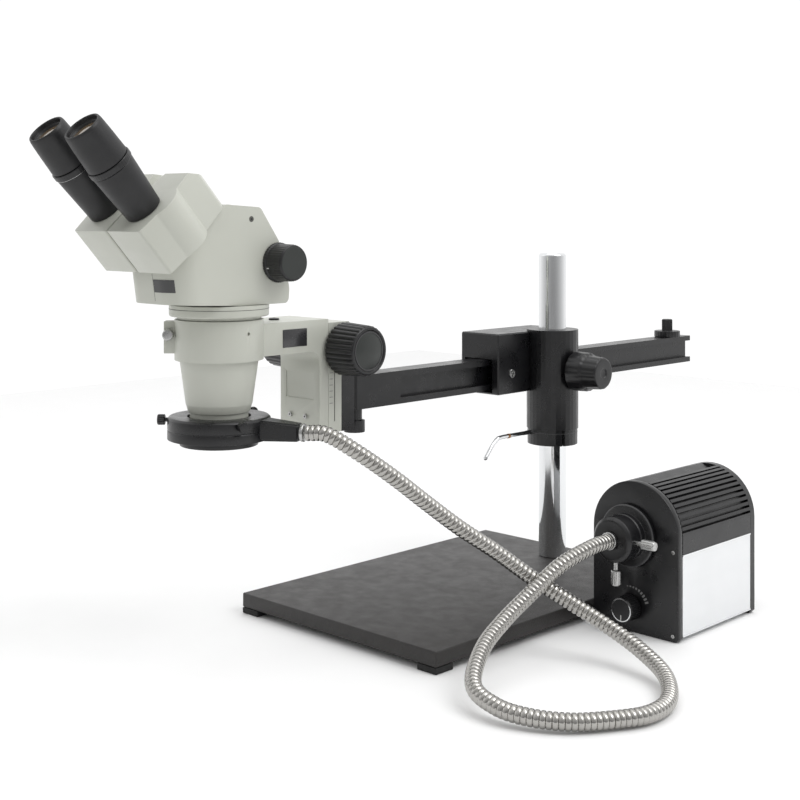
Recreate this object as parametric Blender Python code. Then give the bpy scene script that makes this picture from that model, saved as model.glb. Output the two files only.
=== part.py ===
"""Stereo zoom microscope on a gliding boom stand, with a fibre ring light and its lamp box.

Sizes are in millimetres; MM turns them into metres. Places are given in the stand's own
frame: the post stands at X = Y = 0 on the bench, the user sits at -Y and +X is on the
user's right. One empty, "stand", carries that frame to the middle of the whole object.
"""
import math

import bmesh
import bpy
from mathutils import Matrix, Vector

MM = 0.001
GAP = 0.3

# The stand's frame, measured from the middle of the whole object's footprint.
STAND_X = -54.25
STAND_Y = 152.15

# Base and post
BASE_X = 137.5
BASE_FRONT = -353.0
BASE_REAR = 42.0
FOOT_HEIGHT = 6.0
FOOT_SIDE = 24.0
BASE_BOTTOM = FOOT_HEIGHT + GAP
BASE_TOP = 21.0
POST_R = 16.0
POST_TOP = 373.0
SLIDE_BORE_R = POST_R + GAP

# Boom and its glide block
BOOM_X = -38.5
BOOM_HALF = 12.5
BOOM_LOW = 218.3
BOOM_TOP = 253.3
BOOM_FRONT = -300.0
BOOM_REAR = 340.0
PIN_Y = -285.0
PIN_R = 8.0
BLOCK_LEFT = -68.0
BLOCK_RIGHT = -12.0
BLOCK_FRONT = -84.0
BLOCK_REAR = 45.0
HUB_R = 30.0
ROLLER_R = 8.0
ROLLER_Z = BOOM_TOP + GAP + ROLLER_R
ROLLER_YS = {"front": -60.0, "rear": 25.0}
BRAKE_Y = -60.0
BRAKE_Z = 237.0
TENSION_Z = 238.7
COLLAR_LOW = 152.5
COLLAR_TOP = 170.2
LEVER_X = -14.0
LEVER_Z = 165.8

# Focus mount: slide plate, pinion and carriage
FOCUS_LEFT = -67.5
FOCUS_RIGHT = -9.5
SLIDE_FRONT = -349.0
SLIDE_REAR = -331.4
PINION_Y = -331.0
PINION_Z = 285.5
PINION_TEETH = 12
PITCH_R = 7.5
RACK_PITCH = 2 * math.pi * PITCH_R / PINION_TEETH
KNOB_IN = 31.3
KNOB_OUT = 68.5

# Microscope head
HEAD_X = -38.5
HEAD_Y = -463.0
RING_LOW = 286.0
RING_TOP = 321.0
RING_R = 41.75
CLAMP_R = 46.0
CLAMP_Z = 307.0
NOSE_BORE_R = 38.4
HEAD_HALF = 40.0
PROW_Y = -541.0
PROW_R = 25.0
PROW_LEAN = 0.15
ZOOM_Y = -425.0
ZOOM_Z = 374.0

# Eye pieces: their axis leans toward the user
TILT = math.radians(48.0)
EYE_HALF = 28.0
EYE_Y = -568.5
EYE_Z = 423.3
PIVOT_U = -8.0
PIVOT_V = 25.0
DRUM_DEPTH = 50.0

# Ring light
LIGHT_LOW = 208.8
LIGHT_TOP = 230.0
LIGHT_SCREW_Z = 226.0
LIGHT_R = 48.5
LIGHT_BORE_R = 30.0
NECK_ANGLE = math.radians(25.7)
NECK_END = 83.6
GUIDE_Z = 218.0
GUIDE_D = 15.0

# Lamp box
LAMP_LEFT = 145.0
LAMP_RIGHT = 246.0
LAMP_X = 195.5
LAMP_FRONT = -121.0
LAMP_REAR = 26.0
LAMP_PLATE = 8.0
LAMP_ARCH_Z = 101.0
LAMP_ARCH_R = 50.5
PORT_X = 189.5
PORT_Y = -145.0
PORT_Z = 97.0
DIMMER_X = 190.5
DIMMER_Z = 25.0
SPLIT_Z = 85.0

# The light guide's route, chosen by hand: from the ring light down to a loop on the
# bench in front of the lamp box, and back up into its port.
GUIDE_ROUTE = [
    (42.6, -424.0, 218.0),
    (59.9, -415.6, 217.2),
    (83.0, -397.0, 200.5),
    (100.0, -368.5, 176.5),
    (112.0, -338.5, 151.0),
    (126.0, -307.0, 124.5),
    (143.5, -276.0, 100.0),
    (166.0, -249.5, 74.5),
    (195.0, -227.5, 52.5),
    (230.0, -216.5, 35.0),
    (268.0, -219.0, 21.5),
    (305.5, -237.0, 12.0),
    (334.0, -276.0, 8.0),
    (341.0, -314.0, 8.0),
    (328.0, -345.0, 8.0),
    (306.0, -376.0, 8.5),
    (277.0, -395.0, 10.0),
    (247.0, -401.0, 13.0),
    (215.0, -391.0, 20.0),
    (190.0, -350.0, 35.0),
    (180.0, -308.0, 49.0),
    (179.0, -266.0, 66.0),
    (184.0, -228.0, 85.5),
    (189.5, -187.0, 96.0),
    (189.5, -159.5, 97.0),
]

FINISHES = {
    "cream_paint": ((0.56, 0.56, 0.51), 0.45, 0.0),
    "black_paint": ((0.02, 0.02, 0.022), 0.40, 0.0),
    "base_paint": ((0.045, 0.042, 0.04), 0.65, 0.0),
    "black_plastic": ((0.018, 0.018, 0.02), 0.50, 0.0),
    "rubber": ((0.02, 0.02, 0.02), 0.85, 0.0),
    "chrome": ((0.80, 0.80, 0.80), 0.08, 1.0),
    "steel": ((0.55, 0.55, 0.55), 0.30, 1.0),
    "aluminium": ((0.75, 0.75, 0.76), 0.35, 1.0),
    "brass": ((0.70, 0.50, 0.22), 0.35, 1.0),
    "glass": ((0.55, 0.65, 0.65), 0.05, 0.0),
}


def clear_scene():
    """Start from an empty scene."""
    for old in list(bpy.data.objects):
        bpy.data.objects.remove(old, do_unlink=True)


def finish(name):
    """Return the named finish as a Principled material."""
    found = bpy.data.materials.get(name)
    if found:
        return found
    colour, roughness, metallic = FINISHES[name]
    made = bpy.data.materials.new(name)
    made.use_nodes = True
    shader = made.node_tree.nodes["Principled BSDF"]
    shader.inputs["Base Color"].default_value = (*colour, 1.0)
    shader.inputs["Roughness"].default_value = roughness
    shader.inputs["Metallic"].default_value = metallic
    return made


# ---------------------------------------------------------------- places

PLACES = {}


def empty(name, at, parent=None):
    """Add an empty at a point of the stand's frame, in millimetres."""
    made = bpy.data.objects.new(name, None)
    bpy.context.collection.objects.link(made)
    PLACES[name] = Vector(at)
    made.parent = parent
    start = PLACES[parent.name] if parent else Vector((-STAND_X, -STAND_Y, 0.0))
    made.location = (Vector(at) - start) * MM
    return made


def settle(mesh, name, look, at, parent):
    """Make a sub-part of a mesh in millimetres, with its origin at a point."""
    data = bpy.data.meshes.new(name)
    mesh.normal_update()
    bmesh.ops.recalc_face_normals(mesh, faces=mesh.faces)
    mesh.to_mesh(data)
    mesh.free()
    data.transform(Matrix.Scale(MM, 4) @ Matrix.Translation(-Vector(at)))
    data.shade_smooth()
    data.set_sharp_from_angle(angle=math.radians(35))
    made = bpy.data.objects.new(name, data)
    bpy.context.collection.objects.link(made)
    made.parent = parent
    made.location = (Vector(at) - PLACES[parent.name]) * MM
    data.materials.append(finish(look))
    return made


def combine(part, tool_mesh, operation):
    """Cut or join a hidden tool, given in millimetres, into a part."""
    count = str(len(part.modifiers))
    at = PLACES[part.parent.name]
    tool = settle(tool_mesh, part.name + "_tool_" + count, "steel", at, part.parent)
    tool.hide_render = True
    tool.hide_set(True)
    tool.display_type = "WIRE"
    step = part.modifiers.new("step_" + count, "BOOLEAN")
    step.operation = operation
    step.solver = "EXACT"
    step.object = tool


def cut(part, tool_mesh):
    """Take a tool's shape out of a part."""
    combine(part, tool_mesh, "DIFFERENCE")


def join(part, tool_mesh):
    """Weld a tool's shape onto a part."""
    combine(part, tool_mesh, "UNION")


def aim(around, angle):
    """Turn about Z through the origin, then move to a point."""
    return Matrix.Translation(Vector(around)) @ Matrix.Rotation(angle, 4, "Z")


def aimed(part, tool_mesh, operation, around, angle):
    """Cut or join a tool that was made along +X and points another way."""
    tool_mesh.transform(aim(around, angle))
    combine(part, tool_mesh, operation)


# ---------------------------------------------------------------- shapes

def block(x, y, z, bevel=0.0):
    """A box between pairs of X, Y and Z, with its edges bevelled."""
    mesh = bmesh.new()
    bmesh.ops.create_cube(mesh, size=1.0)
    size = Vector((x[1] - x[0], y[1] - y[0], z[1] - z[0]))
    middle = Vector((sum(x) / 2, sum(y) / 2, sum(z) / 2))
    for corner in mesh.verts:
        corner.co = Vector([corner.co[i] * size[i] for i in range(3)]) + middle
    if bevel:
        bmesh.ops.bevel(mesh, geom=list(mesh.edges), offset=bevel, segments=1,
                        affect="EDGES")
    return mesh


def extruded(outline, axis, span):
    """An outline pushed along an axis: its points are (X, Y), (X, Z) or (Y, Z)."""
    mesh = bmesh.new()
    corners = []
    for first, second in outline:
        place = {"Z": (first, second, span[0]),
                 "Y": (first, span[0], second),
                 "X": (span[0], first, second)}[axis]
        corners.append(mesh.verts.new(place))
    face = mesh.faces.new(corners)
    push = bmesh.ops.extrude_face_region(mesh, geom=[face])
    moved = [item for item in push["geom"] if isinstance(item, bmesh.types.BMVert)]
    way = {"X": (1, 0, 0), "Y": (0, 1, 0), "Z": (0, 0, 1)}[axis]
    bmesh.ops.translate(mesh, verts=moved, vec=Vector(way) * (span[1] - span[0]))
    return mesh


def turned(profile, steps, centre=(0, 0, 0), axis="Z", closed=False):
    """A profile of (radius, height) turned about an axis through a centre."""
    mesh = bmesh.new()
    line = [mesh.verts.new((radius, 0.0, height)) for radius, height in profile]
    pairs = list(zip(line, line[1:]))
    if closed:
        pairs.append((line[-1], line[0]))
    edges = [mesh.edges.new(pair) for pair in pairs]
    bmesh.ops.spin(mesh, geom=line + edges, cent=(0, 0, 0), axis=(0, 0, 1),
                   angle=2 * math.pi, steps=steps, use_duplicate=False)
    bmesh.ops.remove_doubles(mesh, verts=mesh.verts, dist=0.001)
    lay = {"Z": Matrix.Identity(4),
           "X": Matrix.Rotation(math.pi / 2, 4, "Y"),
           "Y": Matrix.Rotation(-math.pi / 2, 4, "X")}[axis]
    mesh.transform(Matrix.Translation(Vector(centre)) @ lay)
    return mesh


def fluted(mesh, columns, depth, least, centre, axis):
    """Push some columns of a turned shape inward, wherever it is wider than least."""
    middle = Vector(centre)
    along = {"X": 0, "Y": 1, "Z": 2}[axis]
    flat = [i for i in range(3) if i != along]
    for corner in mesh.verts:
        away = corner.co - middle
        away[along] = 0.0
        if away.length <= least:
            continue
        angle = math.atan2(away[flat[1]], away[flat[0]])
        column = round(angle / (2 * math.pi / len(columns))) % len(columns)
        if columns[column]:
            corner.co -= away.normalized() * depth
    return mesh


def arc(centre, radius, first, last, steps):
    """Points on an arc, its angles in degrees."""
    points = []
    for i in range(steps + 1):
        angle = math.radians(first + (last - first) * i / steps)
        points.append((centre[0] + radius * math.cos(angle),
                       centre[1] + radius * math.sin(angle)))
    return points


def rod(radius, span, centre, axis, steps=16):
    """A plain round rod along an axis."""
    profile = [(0, span[0]), (radius, span[0]), (radius, span[1]), (0, span[1])]
    return turned(profile, steps, centre, axis)


def tube(inner, outer, span, centre, axis, steps=32):
    """A plain ring along an axis."""
    profile = [(inner, span[0]), (outer, span[0]), (outer, span[1]), (inner, span[1])]
    return turned(profile, steps, centre, axis, closed=True)


def smooth_route(route, spacing):
    """Points at about one spacing along a smooth curve through a route."""
    points = [Vector(p) for p in route]
    points = [2 * points[0] - points[1]] + points + [2 * points[-1] - points[-2]]
    fine = []
    for a, b, c, d in zip(points, points[1:], points[2:], points[3:]):
        for i in range(12):
            t = i / 12
            fine.append(0.5 * (2 * b + (c - a) * t + (2 * a - 5 * b + 4 * c - d) * t * t
                               + (3 * b - a - 3 * c + d) * t * t * t))
    fine.append(points[-2])
    total = sum((b - a).length for a, b in zip(fine, fine[1:]))
    count = round(total / spacing)
    kept = [fine[0]]
    gone = 0.0
    for a, b in zip(fine, fine[1:]):
        gone += (b - a).length
        if gone >= total * len(kept) / count and len(kept) < count:
            kept.append(b)
    kept.append(fine[-1])
    return kept


def swept(name, look, route, radius, at, parent, sides=2):
    """A round bar or tube swept along points, as a bevelled curve with its ends filled."""
    curve = bpy.data.curves.new(name, "CURVE")
    curve.dimensions = "3D"
    curve.bevel_depth = radius * MM
    curve.bevel_resolution = sides
    curve.use_fill_caps = True
    line = curve.splines.new("POLY")
    line.points.add(len(route) - 1)
    for point, place in zip(line.points, route):
        point.co = (*((Vector(place) - Vector(at)) * MM), 1.0)
    curve.materials.append(finish(look))
    made = bpy.data.objects.new(name, curve)
    bpy.context.collection.objects.link(made)
    made.parent = parent
    made.location = (Vector(at) - PLACES[parent.name]) * MM
    return made


# ---------------------------------------------------------------- base and post

def build_base(root):
    """The base plate, its four feet, and the post with the bolt that holds it."""
    plate = settle(block((-BASE_X, BASE_X), (BASE_FRONT, BASE_REAR), (BASE_BOTTOM, BASE_TOP), 1.0),
                   "base_plate", "base_paint", (0, 0, BASE_BOTTOM), root)
    cut(plate, rod(5.5, (0, 40), (0, 0, 0), "Z"))
    cut(plate, rod(9.5, (0, 14.8), (0, 0, 0), "Z"))
    sides = {"left": (-BASE_X, -BASE_X + FOOT_SIDE), "right": (BASE_X - FOOT_SIDE, BASE_X)}
    ends = {"front": (BASE_FRONT, BASE_FRONT + FOOT_SIDE), "rear": (BASE_REAR - FOOT_SIDE, BASE_REAR)}
    for end, y in ends.items():
        for side, x in sides.items():
            settle(block(x, y, (0, FOOT_HEIGHT), 0.8), "foot_" + end + "_" + side, "rubber",
                   (sum(x) / 2, sum(y) / 2, 0), root)
    foot = BASE_TOP + GAP
    settle(turned([(0, POST_TOP + 1), (POST_R - 2, POST_TOP), (POST_R, POST_TOP - 2),
                   (POST_R, foot), (5.3, foot), (5.3, 46.3), (0, 46.3)], 32),
           "post", "chrome", (0, 0, foot), root)
    settle(turned([(0, 46), (5, 46), (5, 14.5), (8.5, 14.5), (8.5, 6.9), (0, 6.9)], 16),
           "post_bolt", "steel", (0, 0, 6.9), root)


# ---------------------------------------------------------------- lamp box

def arched_plate(low, lower_bevel):
    """The outline of the lamp box's end plates, round at the top."""
    arch = arc((LAMP_X, LAMP_ARCH_Z), LAMP_ARCH_R, 0, 180, 24)
    return [(LAMP_LEFT, low + lower_bevel), (LAMP_LEFT + lower_bevel, low),
            (LAMP_RIGHT - lower_bevel, low), (LAMP_RIGHT, low + lower_bevel)] + arch


def build_lamp_shell(root):
    """End plates, finned half-round heat sink and the bright side cover."""
    inside = (LAMP_FRONT + LAMP_PLATE + GAP, LAMP_REAR - LAMP_PLATE - GAP)
    front = settle(extruded(arched_plate(0, 3), "Y", (LAMP_FRONT, LAMP_FRONT + LAMP_PLATE)),
                   "lamp_front_plate", "black_paint", (LAMP_X, LAMP_FRONT, 0), root)
    cut(front, rod(14, (-130, -105), (PORT_X, 0, PORT_Z), "Y", 24))
    cut(front, rod(3.5, (-130, -105), (DIMMER_X, 0, DIMMER_Z), "Y"))
    rear = settle(extruded(arched_plate(0, 3), "Y", (LAMP_REAR - LAMP_PLATE, LAMP_REAR)),
                  "lamp_rear_plate", "black_paint", (LAMP_X, LAMP_REAR, 0), root)
    through = (LAMP_REAR - 20, LAMP_REAR + 10)
    cut(rear, rod(24, through, (LAMP_X, 0, 97), "Y", 24))
    join(rear, block((LAMP_X - 27, LAMP_X + 27), (LAMP_REAR - 7, LAMP_REAR - 2), (92, 102)))
    cut(rear, rod(2.3, (LAMP_REAR - 20, LAMP_REAR - 3), (LAMP_X, 0, 97), "Y", 10))
    cut(rear, block((215, 235), through, (20, 40)))
    cut(rear, block((165, 195), through, (18, 42)))
    wall = 1.5
    left = LAMP_LEFT + GAP
    right = LAMP_RIGHT - GAP
    cover = [(left, SPLIT_Z - GAP), (left, 4), (right, 4), (right, SPLIT_Z - GAP),
             (right - wall, SPLIT_Z - GAP), (right - wall, 4 + wall),
             (left + wall, 4 + wall), (left + wall, SPLIT_Z - GAP)]
    settle(extruded(cover, "Y", inside), "lamp_side_cover", "aluminium",
           (LAMP_X, inside[0], 4), root)
    outline = [(LAMP_RIGHT, SPLIT_Z)]
    grooves = 12
    pitch = 6.6
    for side in (0, 1):
        first = 2.0 if side == 0 else 178.0 - grooves * pitch
        for i in range(grooves):
            start = first + i * pitch
            for angle, radius in ((start, LAMP_ARCH_R), (start + 3.8, LAMP_ARCH_R),
                                  (start + 4.0, LAMP_ARCH_R - 5), (start + 6.4, LAMP_ARCH_R - 5)):
                outline += arc((LAMP_X, LAMP_ARCH_Z), radius, angle, angle, 1)[:1]
    outline += [(LAMP_LEFT, LAMP_ARCH_Z), (LAMP_LEFT, SPLIT_Z), (LAMP_LEFT + 10, SPLIT_Z)]
    outline += arc((LAMP_X, LAMP_ARCH_Z), LAMP_ARCH_R - 10, 180, 0, 14)
    outline += [(LAMP_RIGHT - 10, SPLIT_Z)]
    settle(extruded(outline, "Y", inside), "lamp_heat_sink", "black_paint",
           (LAMP_X, inside[0], SPLIT_Z), root)


def build_lamp_front(root):
    """The guide's port with its two thumb screws, and the dimmer knob."""
    port = settle(turned([(8.3, -154), (19, -154), (22.5, -151), (22.5, -127.5), (31, -127),
                          (31, -121.3), (13.7, -121.3), (13.7, -112), (8.3, -112)],
                         24, (PORT_X, 0, PORT_Z), "Y", closed=True),
                  "lamp_port", "black_paint", (PORT_X, -121.3, PORT_Z), root)
    cut(port, rod(2.3, (7, 30), (PORT_X, PORT_Y, PORT_Z), "X", 8))
    cut(port, rod(2.3, (-30, -7), (PORT_X, PORT_Y, PORT_Z), "Z", 8))
    shape = [(0, 8.6), (2, 8.6), (2, 31), (5, 31), (5, 46), (0, 46)]
    for name, axis, sign in (("side", "X", 1), ("lower", "Z", -1)):
        profile = [(radius, sign * height) for radius, height in shape]
        screw = turned(profile, 16, (PORT_X, PORT_Y, PORT_Z), axis)
        way = {"X": (1, 0, 0), "Z": (0, 0, -1)}[axis]
        at = Vector((PORT_X, PORT_Y, PORT_Z)) + 31 * Vector(way)
        settle(screw, "port_screw_" + name, "steel", at, root)
    columns = [i % 2 for i in range(24)]
    knob = turned([(0, -108.3), (3, -108.3), (3, -121.6), (13, -121.6), (12.6, -136), (11, -138), (0, -138)],
                  24, (DIMMER_X, 0, DIMMER_Z), "Y")
    fluted(knob, columns, 0.8, 12.0, (DIMMER_X, 0, DIMMER_Z), "Y")
    settle(knob, "dimmer_knob", "black_plastic", (DIMMER_X, -121.6, DIMMER_Z), root)


def build_lamp_inside(root):
    """Lamp on its holder, fan, switch and mains inlet."""
    lamp = settle(turned([(0, -58), (8, -58), (8, -76), (24, -98), (24, -105), (22, -105),
                          (22, -99), (6, -79), (0, -79)], 24, (PORT_X, 0, PORT_Z), "Y"),
                  "lamp_and_holder", "aluminium", (PORT_X, -60, PORT_Z), root)
    join(lamp, extruded([(-60, 5.8), (-30, 5.8), (-30, 8.8), (-57, 8.8), (-57, 112), (-60, 112)],
                        "X", (PORT_X - 19, PORT_X + 19)))
    blades = 7
    outline = []
    for i in range(blades):
        start = 360 * i / blades
        outline += arc((LAMP_X, 97), 22.5, start, start + 24, 2)
        outline += arc((LAMP_X, 97), 8, start + 30, start + 46, 1)
    rotor = settle(extruded(outline, "Y", (LAMP_REAR - 24, LAMP_REAR - 11)), "fan_rotor",
                   "black_plastic", (LAMP_X, LAMP_REAR - 24, 97), root)
    join(rotor, rod(2, (LAMP_REAR - 15, LAMP_REAR - 3.5), (LAMP_X, 0, 97), "Y", 10))
    y = LAMP_REAR
    settle(extruded([(y - 6, 21.6), (y + 3, 21.6), (y + 0.5, 30), (y + 3, 38.4), (y - 6, 38.4),
                     (y - 8, 30)], "X", (215.6, 234.4)),
           "power_switch", "black_plastic", (225, y - 4, 30), root)
    inlet = settle(block((165.4, 194.6), (y - 24, y + 0.5), (18.4, 41.6)),
                   "mains_inlet", "black_plastic", (180, y, 30), root)
    cut(inlet, block((168.5, 191.5), (y - 16, y + 10), (22, 38)))


# ---------------------------------------------------------------- stop collar and glide block

def build_collar(root):
    """The stop collar on the post, with its clamp lever."""
    body = empty("collar_slide", (0, 0, COLLAR_LOW), root)
    collar = settle(tube(SLIDE_BORE_R, 29, (COLLAR_LOW, COLLAR_TOP), (0, 0, 0), "Z", 32),
                    "stop_collar", "black_paint", (0, 0, COLLAR_LOW), body)
    cut(collar, rod(2.8, (-35, -5), (LEVER_X, 0, LEVER_Z), "Y", 12))
    aimed(collar, block((12, 40), (-0.8, 0.8), (150, 175)), "DIFFERENCE", (0, 0, 0),
          math.radians(-28))
    route = [(LEVER_X, -17, LEVER_Z), (LEVER_X, -45, LEVER_Z), (LEVER_X, -77, LEVER_Z),
             (LEVER_X, -85, LEVER_Z - 2.2), (LEVER_X, -92, LEVER_Z - 7.2), (LEVER_X, -105, LEVER_Z - 21)]
    swept("clamp_lever", "chrome", route, 2.5, (LEVER_X, -17, LEVER_Z), body)
    return body


def build_glide_block(collar_body):
    """The block that turns on the post and carries the boom on two rollers."""
    body = empty("block_hinge", (0, 0, COLLAR_TOP + GAP), collar_body)
    low = COLLAR_TOP + GAP
    part = settle(rod(HUB_R, (low, 285), (0, 0, 0), "Z", 32), "glide_block", "black_paint",
                  (0, 0, low), body)
    join(part, block((BLOCK_LEFT, BLOCK_RIGHT), (BLOCK_FRONT, BLOCK_REAR), (214, 283), 1.5))
    bore = rod(SLIDE_BORE_R, (100, 300), (0, 0, 0), "Z", 32)
    aimed(part, bore, "DIFFERENCE", (0, 0, 0), math.radians(5.6))
    cut(part, block((-62, -21), (-100, 60), (216, 254)))
    for place in ROLLER_YS.values():
        cut(part, rod(ROLLER_R + 1, (-52.5, -24.5), (0, place, ROLLER_Z), "X", 14))
        cut(part, rod(3.3, (-70, -16), (0, place, ROLLER_Z), "X", 8))
    cut(part, rod(5.3, (-22, -5), (0, BRAKE_Y, BRAKE_Z), "X", 12))
    cut(part, rod(5.3, (10, 40), (0, 0, TENSION_Z), "X", 12))
    for name, place in ROLLER_YS.items():
        shape = [(0, -66), (3, -66), (3, -51), (ROLLER_R, -51), (ROLLER_R, -26), (3, -26),
                 (3, -17), (0, -17)]
        settle(turned(shape, 12, (0, place, ROLLER_Z), "X"), "boom_roller_" + name, "steel",
               (BOOM_X, place, ROLLER_Z), body)
    settle(turned([(0, -25.4), (5, -25.4), (5, -10.5), (3, -10.5), (3, -14.5), (0, -14.5)],
                   12, (0, BRAKE_Y, BRAKE_Z), "X"),
           "boom_brake_screw", "steel", (-12, BRAKE_Y, BRAKE_Z), body)
    columns = [i % 2 for i in range(28)]
    knob = turned([(0, 16.6), (5, 16.6), (5, 32.5), (21, 32.5), (22.5, 34), (22, 52), (19, 54),
                   (18, 70.5), (16, 72.4), (0, 72.4)], 28, (0, 0, TENSION_Z), "X")
    fluted(knob, columns, 1.2, 16.5, (0, 0, TENSION_Z), "X")
    settle(knob, "tension_knob", "black_plastic", (32.5, 0, TENSION_Z), body)
    return body


def build_boom(block_body):
    """The boom, with the end stop that screws into its rear end."""
    body = empty("boom_slide", (BOOM_X, 0, BOOM_LOW), block_body)
    nose = arc((BOOM_X, PIN_Y), 15, 213.6, 326.4, 10)
    outline = [(BOOM_X + BOOM_HALF, BOOM_REAR), (BOOM_X - BOOM_HALF, BOOM_REAR)]
    outline += [(BOOM_X - BOOM_HALF, -290)] + nose + [(BOOM_X + BOOM_HALF, -290)]
    boom = settle(extruded(outline, "Z", (BOOM_LOW, BOOM_TOP)), "boom", "black_paint",
                  (BOOM_X, 0, BOOM_LOW), body)
    for side in (-1, 1):
        x = sorted((BOOM_X + side * 5, BOOM_X + side * 20))
        cut(boom, block(x, (-229, 345), (BOOM_LOW + 6.5, BOOM_TOP - 6.5)))
    cut(boom, rod(PIN_R + GAP, (200, 270), (BOOM_X, PIN_Y, 0), "Z", 20))
    cut(boom, rod(3.3, (236, 270), (BOOM_X, 303, 0), "Z", 12))
    disc = BOOM_TOP + GAP
    settle(turned([(0, 277), (6, 277), (7, 276), (7, 261.6), (17, 261.6), (17, disc), (3, disc),
                   (3, 237), (0, 237)], 20, (BOOM_X, 303, 0)),
           "end_stop_knob", "black_plastic", (BOOM_X, 303, disc), body)
    return body


# ---------------------------------------------------------------- focus mount

def build_focus_mount(boom_body):
    """Bracket and pin at the boom's end, and the fixed half of the focus slide."""
    body = empty("mount_hinge", (BOOM_X, PIN_Y, 200), boom_body)
    outline = [(SLIDE_REAR + GAP, 200), (BOOM_FRONT - GAP, 200), (BOOM_FRONT - GAP, BOOM_TOP + GAP),
               (-272, BOOM_TOP + GAP), (-272, 265), (SLIDE_REAR + GAP, 265)]
    bracket = settle(extruded(outline, "X", (-54, -23)), "mount_bracket", "black_paint",
                     (BOOM_X, PIN_Y, 200), body)
    cut(bracket, rod(PIN_R + GAP, (240, 270), (BOOM_X, PIN_Y, 0), "Z", 20))
    settle(turned([(0, 266), (PIN_R, 266), (PIN_R, 207), (11, 206), (11, 194), (0, 194)],
                  20, (BOOM_X, PIN_Y, 0)),
           "swivel_pin", "black_paint", (BOOM_X, PIN_Y, 194), body)
    outline = [(SLIDE_FRONT, 203), (SLIDE_REAR, 203), (SLIDE_REAR, 265.6), (-316, 265.6),
               (-316, 304), (-321, 312), (SLIDE_FRONT, 312)]
    plate = settle(extruded(outline, "X", (FOCUS_LEFT, FOCUS_RIGHT)), "focus_slide_plate",
                   "cream_paint", (BOOM_X, SLIDE_REAR, 203), body)
    cut(plate, block((-50.5, -26.5), (-360, -335.4), (190, 320)))
    cut(plate, rod(8.9, (-50.5, -26.5), (0, PINION_Y, PINION_Z), "X", 24))
    cut(plate, rod(4.3, (-80, 5), (0, PINION_Y, PINION_Z), "X", 16))
    return body


def build_pinion(mount_body):
    """The pinion and the two coarse knobs on its shaft."""
    body = empty("pinion_hinge", (BOOM_X, PINION_Y, PINION_Z), mount_body)
    per_tooth = 4
    columns = [(i + 1) % per_tooth > 1 for i in range(per_tooth * PINION_TEETH)]
    shape = [(0, -103), (4, -103), (4, -46), (8.2, -46), (8.2, -31), (4, -31), (4, 26), (0, 26)]
    gear = turned(shape, len(columns), (0, PINION_Y, PINION_Z), "X")
    fluted(gear, columns, 1.9, 5.0, (0, PINION_Y, PINION_Z), "X")
    gear.transform(Matrix.Translation((0, PINION_Y, PINION_Z))
                   @ Matrix.Rotation(math.radians(3.75), 4, "X")
                   @ Matrix.Translation((0, -PINION_Y, -PINION_Z)))
    settle(gear, "focus_pinion", "steel", (BOOM_X, PINION_Y, PINION_Z), body)
    ribs = [i % 2 for i in range(32)]
    profile = [(0, KNOB_OUT - 3.5), (4.3, KNOB_OUT - 3.5), (4.3, KNOB_IN), (25, KNOB_IN),
               (26.5, KNOB_IN + 1.5), (24.5, KNOB_OUT - 2.5), (22.5, KNOB_OUT), (0, KNOB_OUT)]
    for name, side in (("left", -1), ("right", 1)):
        turned_profile = [(radius, side * height) for radius, height in profile]
        knob = turned(turned_profile, 32, (BOOM_X, PINION_Y, PINION_Z), "X")
        fluted(knob, ribs, 1.3, 23.0, (BOOM_X, PINION_Y, PINION_Z), "X")
        settle(knob, "focus_knob_" + name, "black_plastic",
               (BOOM_X + side * KNOB_IN, PINION_Y, PINION_Z), body)
    return body


def build_carriage(mount_body):
    """The moving half of the focus slide: leg, arm and the ring that holds the head."""
    body = empty("carriage_slide", (BOOM_X, SLIDE_FRONT, 203), mount_body)
    face = SLIDE_FRONT - GAP
    fillet = arc((-373, 273), 12, 0, 90, 4)
    outline = [(face, 203), (face, 316), (-440, 316), (-440, 285)] + fillet[::-1]
    outline += [(-361, 206), (-358, 203)]
    part = settle(extruded(outline, "X", (FOCUS_LEFT, FOCUS_RIGHT)), "focus_carriage",
                  "cream_paint", (BOOM_X, face, 203), body)
    join(part, rod(RING_R, (RING_LOW - 3, RING_TOP), (HEAD_X, HEAD_Y, 0), "Z", 40))
    join(part, block((-50.1, -26.9), (-352, -342.7), (206, 312)))
    around = (HEAD_X, HEAD_Y, 0)
    aside = math.radians(-135)
    aimed(part, block((39.5, 51), (-8, 8), (289, 319), 1.0), "UNION", around, aside)
    bore = rod(NOSE_BORE_R, (270, 330), (0, 0, 0), "Z", 40)
    aimed(part, bore, "DIFFERENCE", around, math.radians(4.5))
    aimed(part, block((30, 60), (-1, 1), (270, 330)), "DIFFERENCE", around, aside)
    aimed(part, rod(2.3, (-20, 20), (CLAMP_R, 0, CLAMP_Z), "Y", 8), "DIFFERENCE", around, aside)
    screw = turned([(0, -7.5), (2, -7.5), (2, 11.5), (5.5, 11.5), (5.5, 18), (0, 18)], 16,
                   (CLAMP_R, 0, CLAMP_Z), "Y")
    screw.transform(aim(around, aside))
    at = aim(around, aside) @ Vector((CLAMP_R, 0, CLAMP_Z))
    settle(screw, "head_clamp_screw", "steel", at, body)
    tip = PINION_Y - PITCH_R + 0.7
    root = PINION_Y - PITCH_R - 1.3
    back = -342.4
    teeth = 15
    outline = [(back, 250), (root, 250)]
    first = PINION_Z - RACK_PITCH * 8.5
    for i in range(teeth):
        middle = first + RACK_PITCH * i
        if 251.5 < middle < 310.5:
            outline += [(root, middle - 1.1), (tip, middle - 0.45), (tip, middle + 0.45),
                        (root, middle + 1.1)]
    outline += [(root, 312), (back, 312)]
    settle(extruded(outline, "X", (-44, -33)), "focus_rack", "brass", (BOOM_X, back, 250), body)
    return body


# ---------------------------------------------------------------- head

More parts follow.
